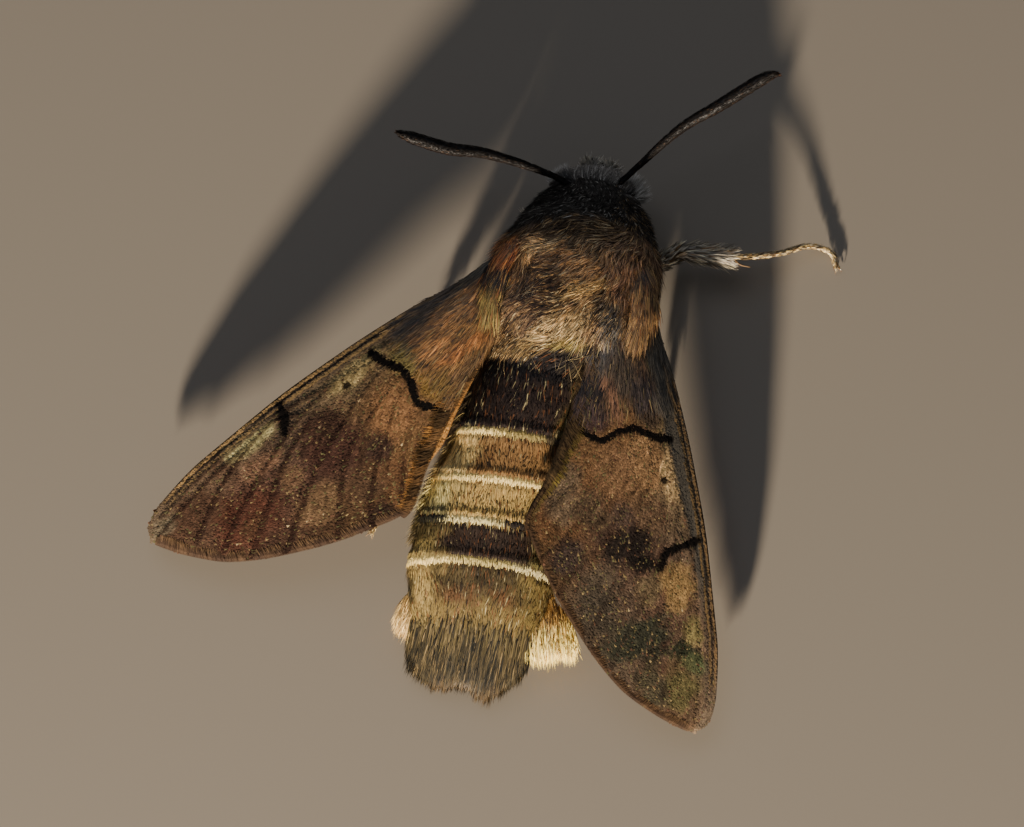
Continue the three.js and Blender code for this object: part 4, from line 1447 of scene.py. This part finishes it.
# The clouds and patches of each forewing, worn and rusty on the left and fresher on the right.
SPOTS = {
    Side.LEFT: spots(
        ("8c6636", 1.9, 4.8, 1.2, 2.4), ("b5854c", 1.75, 5.1, 0.3, 1.3), ("9c7444", 0.9, 3.2, 0.5, 1.4),
        ("a06a38", 2.6, 3.9, 0.3, 1.6), ("665a32", 1.3, 6.8, 0.9, 0.9), ("73592c", 3.2, 6.3, 0.8, 1.0),
        ("4c3e2b", 0.05, 4.4, 0.4, 2.6), ("a88250", 0.8, 2.4, 0.4, 1.5), ("86603c", 3.2, 9.2, 1.4, 1.1),
        ("a08a58", 0.15, 9.4, 0.5, 1.5), ("6a4e30", 5.0, 9.0, 0.9, 1.5), ("3c2b20", 3.9, 10.9, 0.8, 0.8),
        ("432c21", 2.3, 12.6, 1.6, 1.5), ("3d2a1e", 1.5, 12.1, 0.8, 1.0), ("aa9c66", -0.6, 15.6, 0.6, 1.5),
        ("7c5c42", 0.9, 16.0, 0.5, 1.2), ("4e2f21", 2.6, 18.2, 1.4, 1.9), ("553020", 1.3, 19.1, 0.5, 0.8),
        ("503624", 3.1, 18.2, 0.5, 0.8), ("483524", 5.2, 12.6, 0.9, 0.8), ("664e34", 4.4, 14.8, 0.9, 1.3),
        ("634a33", 2.4, 15.2, 0.6, 0.8), ("332419", 6.8, 12.9, 0.8, 0.9), ("4c3626", 0.8, 20.2, 1.1, 1.6),
        ("6c5e46", 0.1, 21.6, 0.5, 0.8)),
    Side.RIGHT: spots(
        ("4a4030", 4.2, 17.2, 2.4, 3.6, 0, 0.6), ("5e564b", 2.7, 3.0, 0.8, 1.5),
        ("4f4232", 1.9, 4.2, 0.7, 1.4), ("473c34", 1.1, 5.4, 0.6, 1.4), ("241c16", 3.6, 5.0, 0.9, 1.2),
        ("5a5042", 0.4, 6.0, 0.4, 0.9), ("403029", 3.7, 6.4, 1.1, 1.0), ("7a583e", 2.5, 5.6, 0.25, 1.5, 6),
        ("463828", 0.9, 6.9, 0.7, 0.6), ("82623f", 1.2, 9.2, 1.1, 1.4), ("76583a", 2.8, 9.4, 1.0, 1.3),
        ("a88a5c", 0.05, 9.8, 0.5, 1.5), ("62503a", 5.6, 10.2, 1.0, 1.6), ("443529", 2.8, 11.9, 0.7, 0.8),
        ("4c3c2a", 4.2, 11.4, 0.9, 1.0), ("5c4732", 1.2, 11.8, 0.8, 0.8), ("221b15", 2.7, 13.2, 1.5, 0.9),
        ("120f0b", 1.9, 14.2, 0.9, 0.45, 0, 0.95), ("332820", 5.8, 13.5, 0.9, 1.0),
        ("86693f", 0.4, 15.4, 0.9, 1.1), ("5c4c34", 1.9, 15.6, 0.7, 0.8), ("4c4030", 4.2, 15.0, 0.8, 0.9),
        ("383024", 4.6, 16.3, 1.0, 1.3), ("2e2d20", 2.6, 17.9, 2.1, 1.0, 12),
        ("26281a", 0.4, 18.6, 0.7, 0.5), ("7a6c40", -0.2, 17.7, 0.5, 0.7), ("43472c", -0.1, 19.3, 0.6, 0.6),
        ("4e4629", 0.8, 20.4, 0.9, 1.2), ("3b3424", 2.3, 20.2, 0.8, 1.2))}


@dataclass
class Wing(Surface):
    """A wing in its place. The first coordinate runs 0 to 1 out from the root, the second 0 to 1 back."""

    shape: WingShape
    side: Side
    base: tuple
    sweep: float
    droop: float
    rise: float
    bow: float
    taper: float = 1.7

    def plane(self, along: Array, over: Array) -> tuple[Array, Array]:
        """A and B on the wing's own plane; the fringe is left outside."""
        shape = self.shape
        a = (shape.length - 0.45 * shape.fringe) * (1 - (1 - np.clip(along, 0, 1)) ** self.taper)
        lead, trail = read(shape.lead, a), read(shape.trail, a)
        chord = trail - lead
        edge = np.minimum(self.inset(along), 0.55 * chord)
        return a, lead + over * (chord - edge)

    def inset(self, along: Array) -> Array:
        """How much of the wing's breadth is fringe: little on the inner margin, more on the outer."""
        corner = self.shape.corner
        most = self.shape.fringe * (0.6 if self.side is Side.RIGHT else 1.0)
        return most * (0.3 + 0.7 * step(corner - 0.06, corner + 0.08, along))

    def place(self, a: Array, b: Array) -> Array:
        """The point over A and B on the wing's plane."""
        shape, sign, sweep = self.shape, self.side.value, math.radians(self.sweep)
        out = np.array([math.sin(sweep) * sign, -math.cos(sweep)])
        back = np.array([-math.cos(sweep) * sign, -math.sin(sweep)])
        lead, trail = read(shape.lead, a), read(shape.trail, a)
        share = np.clip((b - lead) / np.maximum(trail - lead, 0.05), 0, 1)
        reach = np.clip(a / shape.length, 0, 1)
        flat = np.array(self.base[:2]) + a[:, None] * out + b[:, None] * back
        height = (self.base[2] - self.droop * reach ** 1.15 + self.rise * (b - lead)
                  + self.bow * np.sin(math.pi * share) * np.sin(math.pi * np.sqrt(reach)))
        return np.column_stack([flat, height])

    def point(self, along: Array, over: Array) -> Array:
        """The wing's middle surface."""
        return self.place(*self.plane(along, over))

    def outward(self, along: Array, over: Array) -> Array:
        """The way up from the wing."""
        return super().outward(along, over) * -self.side.value

    def relief(self, a: Array, b: Array) -> Array:
        """How far the upper face stands over the middle: raised veins, and pleats between them."""
        far = near_lines(beside(a, b), self.shape.veins)
        pleats = 0.018 * np.cos(np.minimum(far, 0.7) / 0.7 * math.pi)
        return 0.05 + 0.035 * np.exp(-(far / 0.09) ** 2) + pleats

    def colours(self, a: Array, b: Array, draw: Generator | None = None) -> Array:
        """The wing's markings above, with single scales flecked if draw is given."""
        lead, trail = read(self.shape.lead, a), read(self.shape.trail, a)
        share = np.clip((b - lead) / np.maximum(trail - lead, 0.05), 0, 1)
        flat = beside(a, b)
        ragged = ripple(flat, 1.3, 201) + 0.5 * ripple(flat, 0.45, 202)
        tint = tones(self.shape.tone, a, share + 0.06 * ragged)
        far = near_lines(flat, self.shape.veins)
        fan = mix(b[:, None], 11 * np.arctan2(b + 2, np.maximum(a - 4, 1))[:, None], step(7, 9, a))[:, 0]
        streak = ripple(beside(0.22 * a, fan), 0.5, 203) + ripple(beside(0.3 * a, fan), 0.22, 204)
        if self.shape is FORE:
            for spot in SPOTS[self.side]:
                tint = mix(tint, spot.colour, spot.cover(b, a, ragged))
        tint = tint * (1 + 0.21 * streak + 0.14 * ripple(flat, 0.33, 209))[:, None]
        tint = tint * np.array([1.0, 1.03, 1.14]) * (1.0 if self.side is Side.LEFT else 1.08)
        tint = mix(tint, "24140e", self.vein_share(a) * np.exp(-(far / 0.075) ** 2))
        if draw is not None:
            chances = (("c08a48", 0.2), ("7a4a24", 0.12))
            if self.shape is FORE:
                chances = ("84704a", 0.03), ("5c5838", 0.04), ("5c4030", 0.04), ("b09a70", 0.002)
            tint = fleck(tint, draw, *chances) * np.exp(0.2 * draw.normal(size=(len(a), 1)))
        return self.markings(tint, flat, b - lead, ragged) if self.shape is FORE else tint

    def vein_share(self, a: Array) -> Array:
        """How plainly the veins show, out along the wing: worn and dark on the left, clothed on the right."""
        strength = 0.8 if self.side is Side.LEFT else 0.25
        return strength * step(7.5, 10.0, a) * (0.6 + 0.4 * step(10, 14, a))

    def markings(self, tint: Array, flat: Array, depth: Array, ragged: Array) -> Array:
        """Adds the forewing's black lines, its dot and its costal stripes.

        Args:
            tint: the colours below them.
            flat: rows of A and B.
            depth: distance back from the front edge.
            ragged: noise that frays the edges.

        Returns:
            The colours with the markings.
        """
        left = self.side is Side.LEFT
        a, b = flat.T
        broad = 0.8 if left else 1.2 - 0.35 * step(9, 15, a)
        stripe = step(broad, broad - 0.25, depth + 0.06 * ragged) * step(2.0, 3.5, a)
        tint = mix(tint, "5c4d3d" if left else "4b463d", stripe * (1 - 0.7 * step(14, 18, a)))
        stripes = ((-0.1, 0.04, "15110e"), (0.12, 0.19, "7d6240"), (0.26, 0.32, "1f1a15"),
                   (0.38, 0.46, "6e5838"))
        if left:
            stripes = ((-0.1, 0.03, "15110e"), (0.12, 0.22, "b08c58"), (0.3, 0.36, "1f1a15"),
                       (0.46, 0.54, "8a7048"))
        for near, far, code in stripes:
            line = step(near - 0.04, near, depth) * step(far + 0.04, far, depth)
            tint = mix(tint, code, 0.85 * line * step(3, 6, a) * step(21.5, 19.5, a))
        black = "0c0805"
        line = flat_line(((8.0, 0.0), (7.85, 0.85), (7.4, 1.65), (7.5, 2.45), (7.9, 3.4), (7.1, 4.4),
                          (6.8, 5.2)))
        fine = ripple(flat, 0.3, 207)
        wide = 0.17 + 0.03 * left + 0.05 * ragged + 0.03 * fine + 0.05 * step(1.4, 0.4, b)
        tint = mix(tint, black, step(1.3, 0.8, near_lines(flat, (line,)) / wide) * step(0.5, 0.75, depth))
        knots = ((13.25, -1.0), (13.55, -0.2), (14.0, 0.3)) if left else (
            (13.2, -0.8), (13.4, -0.1), (13.65, 0.7), (14.4, 1.25), (14.1, 2.1))
        wide = 0.16 + 0.06 * ragged + 0.04 * fine + 0.06 * step(0.8, -0.8, b)
        wide = wide + 0.1 * left * step(0.5, 0.0, np.abs(b + 0.2))
        mark = near_lines(flat, (flat_line(knots),)) / wide
        tint = mix(tint, black, step(1.5, 0.7, mark) * step(2.2, 0.9, b))
        return mix(tint, black, 0.95 * step(1.4, 0.8, np.hypot(a - 10.05, b - 0.42) / 0.19))

    def under_colours(self, a: Array, share: Array, draw: Generator | None = None) -> Array:
        """The wing's colours below: foxy at the root and brown at the edge."""
        out = a / self.shape.length
        tint = mix(mix("b5793a", "a3592a", step(0.15, 0.6, out)), "6a4329", step(0.72, 0.95, out))
        tint = mix(tint, "8d8471", 0.7 * step(0.3, 0.05, out) * step(0.4, 0.8, share))
        return tint if draw is None else fleck(tint, draw, ("d6a05a", 0.12), ("5b3820", 0.14))

    def membrane(self) -> Object:
        """Makes the closed membrane with its veins in relief."""
        rows, columns = (190, 56) if self.shape is FORE else (90, 36)
        along, over = np.linspace(0.0, 1, rows), np.linspace(0, 1, columns)
        u, v = crossings(along, over)
        a, b = self.plane(u, v)
        middle, up = self.place(a, b), self.outward(np.clip(u, 0.005, 0.985), np.clip(v, 0.01, 0.99))
        thin = 0.35 + 0.65 * np.sqrt(np.clip(np.sin(math.pi * np.clip(v, 0.0, 1.0)), 0, 1))
        above = (middle + up * (self.relief(a, b) * thin)[:, None]).reshape(rows, columns, 3)
        below = (middle - up * (0.06 * thin - 0.02)[:, None]).reshape(rows, columns, 3)
        ring = np.concatenate([above, below[:, ::-1]], axis=1).reshape(-1, 3)
        faces = ring_faces(rows, 2 * columns)
        last = (rows - 1) * 2 * columns
        faces.append(tuple(reversed(range(2 * columns))))
        faces.append(tuple(range(last, last + 2 * columns)))
        if self.side is Side.LEFT:
            faces = [face[::-1] for face in faces]
        piece = new_mesh(f"{self.shape.name}_{self.side.word}_membrane", ring, faces)
        tops = self.colours(a, b).reshape(rows, columns, 3)
        unders = self.under_colours(a, v).reshape(rows, columns, 3)
        set_tint(piece.data, np.concatenate([tops, unders[:, ::-1]], axis=1).reshape(-1, 3))
        return piece

    def scales(self, count: int, above: bool, seed: int, stretch: tuple = (0.02, 0.995),
               thick: Callable | None = None) -> Roots:
        """Spreads scales over one face of the wing, pointing out along it."""
        draw = default_rng(seed)
        u, v = self.spread(count, stretch, (0.012, 1.0) if above else (0.04, 0.93), draw, thick)
        a, b = self.plane(u, v)
        up = self.outward(np.clip(u, 0.01, 0.98), np.clip(v, 0.01, 0.99))
        middle = self.place(a, b)
        lie = self.point(np.minimum(u + 0.01, 1), v) - self.point(np.minimum(u, 0.99), v)
        turn = beside(-lie[:, 1], lie[:, 0], 0)
        stray = (0.16 * ripple(middle, 0.8, 205) + 0.1 * draw.normal(size=count)) * step(0, 0.1, v)
        lie = unit(lie) + unit(turn) * stray[:, None]
        if above:
            place = middle + up * (self.relief(a, b) - 0.005)[:, None]
            tint = self.colours(a, b, draw)
        else:
            place, tint = middle - up * 0.035, self.under_colours(a, v, draw)
            up = -up
        unwrap = beside(0.004 + 0.988 * np.clip(a / self.shape.length, 0, 1), 0.004 + 0.988 * v)
        return Roots.on(place, lie, up, 0.05 + 0.04 * draw.random(count), 0.8 + 0.4 * draw.random(count),
                        tint, unwrap)

    def root_hair(self, seed: int) -> Roots:
        """The long hair over the inner third of a forewing, up to the first black line."""
        roots = self.scales(8500, True, seed, (0.0, 0.19),
                            lambda u, v: step(0.19, 0.14, u) * step(0.0, 0.2, v))
        draw = default_rng(seed + 1)
        roots.place = roots.place + roots.rise * 0.04
        roots.lie = unit(roots.lie + roots.rise * (0.12 * draw.random(len(roots.place)))[:, None])
        return roots

    def hem(self, along: Array) -> Array:
        """How much longer the fringe is on a forewing's inner margin, where it lies over the abdomen."""
        if self.shape is not FORE:
            return np.zeros(len(along))
        most, share = (0.9, 0.5) if self.side is Side.RIGHT else (0.68, 0.88)
        corner = self.shape.corner
        return most * step(0.0, 0.08, along) * step(corner, share * corner, along)

    def fringe_roots(self, seed: int) -> Roots:
        """The comb of long scales along the rear edge and round the tip, in rows."""
        draw = default_rng(seed)
        groups = []
        rows = (0, 0.03, 1.0, 1.0), (1, 0.1, 0.85, 1.0), (2, 0.3, 1.0, self.shape.corner)
        for row, depth, scale, end in rows if self.shape is FORE else rows[:2]:
            count = int(1700 * end ** 0.5) if self.shape is FORE else 700
            u = 0.03 + (end - 0.03) * (np.arange(count) + draw.random(count)) / count
            a, b = self.plane(u, np.ones(count))
            hem = self.hem(u) * (0.5 + 0.5 * draw.random(count))
            hem = hem * (1 + 0.3 * ripple(u[:, None] * 20, 1.1, 208))
            ahead = self.point(np.minimum(u + 0.01, 1), np.ones(count)) - self.point(u - 0.01, np.ones(count))
            way = 0.3 * draw.normal(size=count) * np.minimum(2 * hem, 1)
            up = self.outward(np.clip(u, 0.02, 0.97), np.full(count, 0.95))
            off = np.cross(up, unit(ahead)) * self.side.value
            place = self.place(a, b) - off * depth + up * (0.03 + 0.02 * row)
            lie = unit(off) + unit(ahead) * (0.35 * (1 - step(0.8, 1.0, u)) + 0.6 * hem + way)[:, None]
            long = (self.inset(u) + 0.16 + hem) * (1 - 0.3 * step(0.94, 1.0, u)) * scale
            size = beside(long / 0.5, 1, 1) * (0.9 + 0.2 * draw.random((count, 1)))
            right = self.side is Side.RIGHT
            dark, light = ("b0783c", "d8a25e") if self.shape is HIND else (
                ("382a1f", "55402c") if right else ("44342a", "604a36"))
            tone = mix(dark, light, 0.5 + 0.5 * ripple(place, 1.2, 206))
            tone = tone if row else mix(tone, "a8845a", 0.12 if right else 0.25)
            tone = mix(tone, "4a3a2a", step(0.95, 0.99, u))
            gold = ("92803e" if right else "c08a48") if row < 2 else ("6e583a" if right else "7c5c38")
            tone = mix(tone, gold, np.minimum(hem * 2.5, 0.9))
            # Painted shade: the long inner-margin fringe is darkened in patches, and on the right wing from A
            # 4.6 on, for the wing's shadow and fold there.
            dark = step(0.1, 0.7, ripple(place, 1.0, 210) + 1.0 * step(4.6, 6.5, a) * right)
            tone = mix(tone, "3c3020", (0.55 if right else 0.8) * dark * np.minimum(hem * 2.5, 1))
            unwrap = beside(0.004 + 0.988 * a / self.shape.length, 0.4 + 0.2 * row)
            groups.append(Roots.on(place, lie, up, 0.02 + 0.05 * draw.random(count) + 0.1 * (row == 2), size,
                                   fleck(tone * np.ones((count, 1)), draw, ("2e1f15", 0.15)), unwrap))
        return Roots.together(groups)

    def build(self, planter: Planter) -> None:
        """Makes the membrane and its coats above, below and along the edge."""
        fore = self.shape is FORE
        name = f"{self.shape.name}_{self.side.word}"
        hand_over(self.membrane(), MEMBRANE, (name,))
        seed = 300 + 10 * self.side.value + (0 if fore else 30)
        small = Tuft(Form.FAN, 0.25, 0.115, 0.006, sway=0.06)
        long = hair(0.5, 0.06, 0.03, 0.02, sway=0.06)
        coats = [("scales", self.scales(36500 if fore else 5200, True, seed), small, WING_SCALE),
                 ("underside", self.scales(7000 if fore else 2600, False, seed + 1, (0.03, 0.88)),
                  Tuft(Form.FAN, 0.5, 0.29, 0.012, sway=0.06), WING_SCALE),
                 ("fringe", self.fringe_roots(seed + 2), long, WING_SCALE)]
        if fore:
            coats.append(("hair", self.root_hair(seed + 3), hair(0.95, 0.058, 0.03, 0.05, sway=0.06), FUR))
        for number, (kind, roots, tuft, finish) in enumerate(coats):
            planter.plant(f"coat_{name}_{kind}", roots, tuft, finish, seed + number, self.shape.name)


# ---- legs

def thorn(knots: list, root: float, tip: float) -> tuple[Array, list]:
    """A slim tube along knots that thins from one radius to the other."""
    return sweep(curve_points(knots, 8), np.linspace(root, tip, 8), 6)


@dataclass
class Leg:
    """One leg: thigh, shin with its spurs, and a five-jointed foot with two claws."""

    pair: str
    side: Side
    knots: tuple
    spurs: int
    brush: bool = False

    def build(self, planter: Planter) -> None:
        """Makes the horny leg and the scales on it."""
        hip, knee, ankle = (np.array(knot, float) for knot in self.knots[:3])
        foot = curve_points(self.knots[2:], 60)
        thigh, shin = curve_points([hip, knee], 12), curve_points([knee, ankle], 14)
        share = np.linspace(0, 1, 12)
        parts = [sweep(thigh, 0.3 + 0.1 * np.sin(math.pi * share) - 0.05 * share, 12),
                 sweep(shin, 0.2 + 0.07 * np.sin(math.pi * np.linspace(0, 1, 14)), 12)]
        joints = (0.0, 0.40, 0.60, 0.76, 0.88, 1.0)
        for first, last in zip(joints, joints[1:]):
            i, j = int(first * 59), int(last * 59)
            piece = foot[i:j + 1]
            run = np.linspace(0, 1, len(piece))
            thin = 0.15 - 0.05 * first
            parts.append(sweep(piece, thin * (0.72 + 0.4 * run - 0.22 * run ** 6), 10))
        parts.extend(self.claws(foot))
        parts.extend(self.shin_spurs(shin))
        points, faces = join_meshes(parts)
        points[:, 2] = np.maximum(points[:, 2], 0.015)
        piece = new_mesh(f"leg_{self.pair}_{self.side.word}", points, faces)
        tone = mix("54463a", "8a6b42", 0.5 + 0.5 * ripple(points, 0.8, 401))
        set_tint(piece.data, tone)
        names = tuple(f"{bone}_{self.pair}_{self.side.word}" for bone in ("femur", "tibia", "tarsus"))
        hand_over(piece, HORN, names)
        self.clothe(planter, thigh, shin, foot)

    def claws(self, foot: Array) -> list:
        """The two hooked claws at the foot's end."""
        ahead = unit(foot[-1] - foot[-4])
        aside = unit(np.cross(ahead, [0, 0, 1.0]))
        made = []
        for sign in (-1, 1):
            path = [foot[-1] - 0.03 * ahead, foot[-1] + 0.12 * ahead + sign * 0.09 * aside + [0, 0, 0.05],
                    foot[-1] + 0.26 * ahead + sign * 0.16 * aside + [0, 0, 0.0],
                    foot[-1] + 0.30 * ahead + sign * 0.17 * aside + [0, 0, -0.1]]
            made.append(thorn(path, 0.05, 0.012))
        return made

    def shin_spurs(self, shin: Array) -> list:
        """The pointed spurs of the shin: a pair at its end, and on a hind leg one at its middle too."""
        ahead = unit(shin[-1] - shin[0])
        aside = unit(np.cross(ahead, [0, 0, 1.0]))
        made = []
        for number in range(self.spurs):
            sign = -1 if number % 2 else 1
            root = shin[-1] if number < 2 else shin[8]
            path = [root, root + 0.3 * ahead + sign * 0.3 * aside, root + 0.9 * ahead + sign * 0.42 * aside]
            made.append(thorn(path, 0.07, 0.015))
        return made

    def clothe(self, planter: Planter, thigh: Array, shin: Array, foot: Array) -> None:
        """Plants the leg's scales: shaggy on the thigh, close on the foot, and brushed on a fore shin."""
        seed = 410 + 7 * self.side.value + len(self.pair)
        groups = []
        brushed = (shin[:12], 0.25, 1300, 0.4, np.array([2.7, 1.0, 1.0]))
        for path, radius, count, lift, size in ((thigh, 0.34, 480, 0.3, 1.9),
                                                brushed if self.brush else (shin, 0.25, 420, 0.22, 1.5),
                                                (foot, 0.12, 800 if self.brush else 640, 0.16, 0.8)):
            roots = scales_along(path, np.full(len(path), radius), count, seed, 1.0, lift)
            roots.size = roots.size * size
            groups.append(roots)
            seed += 1
        roots = Roots.together(groups)
        draw = default_rng(seed)
        count = len(roots.place)
        tint = mix("b0a692", "d8bc80", np.arange(count) >= count - len(groups[2].place))
        roots.tint = fleck(tint, draw, ("e8dcb8", 0.25), ("5a4f44", 0.25), ("8d6a40", 0.1))
        tuft = hair(0.3, 0.07, 0.025, 0.015, sway=0.15, uneven=0.2)
        planter.plant(f"coat_leg_{self.pair}_{self.side.word}", roots, tuft, FUR, seed, "leg")


LEGS = (
    Leg("fore", Side.LEFT, ((-1.7, 1.9, 1.2), (-2.9, 3.3, 1.5), (-3.55, 1.1, 1.0), (-3.6, -0.9, 0.5),
                            (-3.5, -2.9, 0.24)), 1),
    Leg("fore", Side.RIGHT, ((2.3, 0.9, 1.1), (4.85, 2.85, 2.35), (7.6, 3.25, 2.1), (9.7, 4.1, 1.35),
                             (11.35, 5.05, 0.6), (12.45, 5.0, 0.24), (12.9, 4.35, 0.22)), 1, True),
    Leg("middle", Side.LEFT, ((-1.6, 0.3, 1.4), (-3.9, -1.5, 2.3), (-6.1, -4.6, 1.15), (-7.1, -6.4, 0.5),
                              (-7.8, -8.2, 0.24)), 2),
    Leg("middle", Side.RIGHT, ((1.6, 0.3, 1.4), (3.9, -1.5, 2.3), (5.2, -5.2, 1.15), (5.9, -7.3, 0.5),
                               (6.6, -9.4, 0.24)), 2),
    Leg("hind", Side.LEFT, ((-1.4, -2.4, 1.4), (-3.6, -4.9, 1.9), (-5.9, -9.7, 1.0), (-6.7, -12.1, 0.5),
                            (-7.3, -14.5, 0.24)), 4),
    Leg("hind", Side.RIGHT, ((1.4, -2.4, 1.4), (3.3, -4.9, 1.9), (3.9, -9.9, 1.0), (4.5, -12.3, 0.5),
                             (5.1, -14.7, 0.24)), 4))

WINGS = (
    Wing(HIND, Side.LEFT, (-3.5, -1.2, 4.05), 41.0, 1.6, 0.10, 0.2),
    Wing(HIND, Side.RIGHT, (3.5, -1.2, 4.05), 20.0, 1.6, 0.17, 0.2),
    Wing(FORE, Side.LEFT, (-3.95, 0.3, 4.9), 38.6, 3.4, 0.11, 0.35),
    Wing(FORE, Side.RIGHT, (3.75, 0.7, 4.9), 19.2, 3.4, 0.225, 0.3))


# ---- studio

@dataclass
class Studio:
    """A pale floor, soft light and the camera."""

    azimuth: float = 13.0
    elevation: float = 80.0
    distance: float = 0.26
    lens: float = 180.0
    aim: tuple = (-1.59, -7.32, 2.81)      # what the camera looks at, in the moth's own mm

    def build(self) -> None:
        """Makes the floor, lights, world and camera."""
        self.floor()
        self.world("d4dbe8", 0.17)
        aim = Vector((np.array(self.aim) + ORIGIN) * MM)
        self.light("low warm sun", aim, 178.5, 12.0, 0.30, 0.02, 3.9, "fff0dc")
        self.light("soft sky", aim, 40.0, 62.0, 0.40, 0.30, 0.25, "dfe8ff")
        self.camera(aim)

    def floor(self) -> None:
        """A plain pale floor."""
        half = 400.0
        corners = np.array([(-half, -half, 0), (half, -half, 0), (half, half, 0), (-half, half, 0)], float)
        piece = new_mesh("floor", corners, [(0, 1, 2, 3)])
        stone = bpy.data.materials.new("honed pale stone")
        stone.use_nodes = True
        shader = stone.node_tree.nodes["Principled BSDF"]
        shader.inputs["Base Color"].default_value = (*linear("857c6e"), 1)
        shader.inputs["Roughness"].default_value = 0.9
        piece.data.materials.append(stone)

    def world(self, code: str, strength: float) -> None:
        """An even, dim sky."""
        world = bpy.data.worlds.new("studio")
        bpy.context.scene.world = world
        world.use_nodes = True
        back = world.node_tree.nodes["Background"]
        back.inputs["Color"].default_value = (*linear(code), 1)
        back.inputs["Strength"].default_value = strength

    def light(self, name: str, aim: Vector, azimuth: float, elevation: float, distance: float, size: float,
              watts: float, code: str) -> None:
        """An area light that points at the moth; azimuth 0 is before its face, 180 behind its tail."""
        a, e = math.radians(azimuth), math.radians(elevation)
        way = Vector((-math.sin(a) * math.cos(e), math.cos(a) * math.cos(e), math.sin(e)))
        lamp = bpy.data.lights.new(name, "AREA")
        lamp.shape, lamp.size, lamp.energy = "DISK", size, watts
        lamp.color = tuple(linear(code))
        held = linked(name, lamp)
        held.visible_camera = False
        held.location = aim + way * distance
        held.rotation_euler = (-way).to_track_quat("-Z", "Y").to_euler()

    def camera(self, aim: Vector) -> None:
        """The camera, high over the tail."""
        a, e = math.radians(self.azimuth), math.radians(self.elevation)
        back = Vector((math.sin(a) * math.cos(e), -math.cos(a) * math.cos(e), math.sin(e)))
        data = bpy.data.cameras.new("camera")
        data.lens, data.sensor_width, data.clip_start, data.clip_end = self.lens, 36.0, 0.005, 10.0
        held = linked("camera", data)
        held.location = aim + back * self.distance
        held.rotation_euler = (-back).to_track_quat("-Z", "Y").to_euler()
        bpy.context.scene.camera = held


def main() -> None:
    """Builds the moth piece by piece, then its studio."""
    logging.basicConfig(level=logging.INFO, format="%(name)s: %(message)s")
    planter = Planter()
    Trunk().build(planter)
    EyePair().build()
    Palps().build(planter)
    Tongue().build()
    Feelers().build(planter)
    for wing in WINGS:
        wing.build(planter)
    for leg in LEGS:
        leg.build(planter)
    Studio().build()


if __name__ == "__main__":
    main()
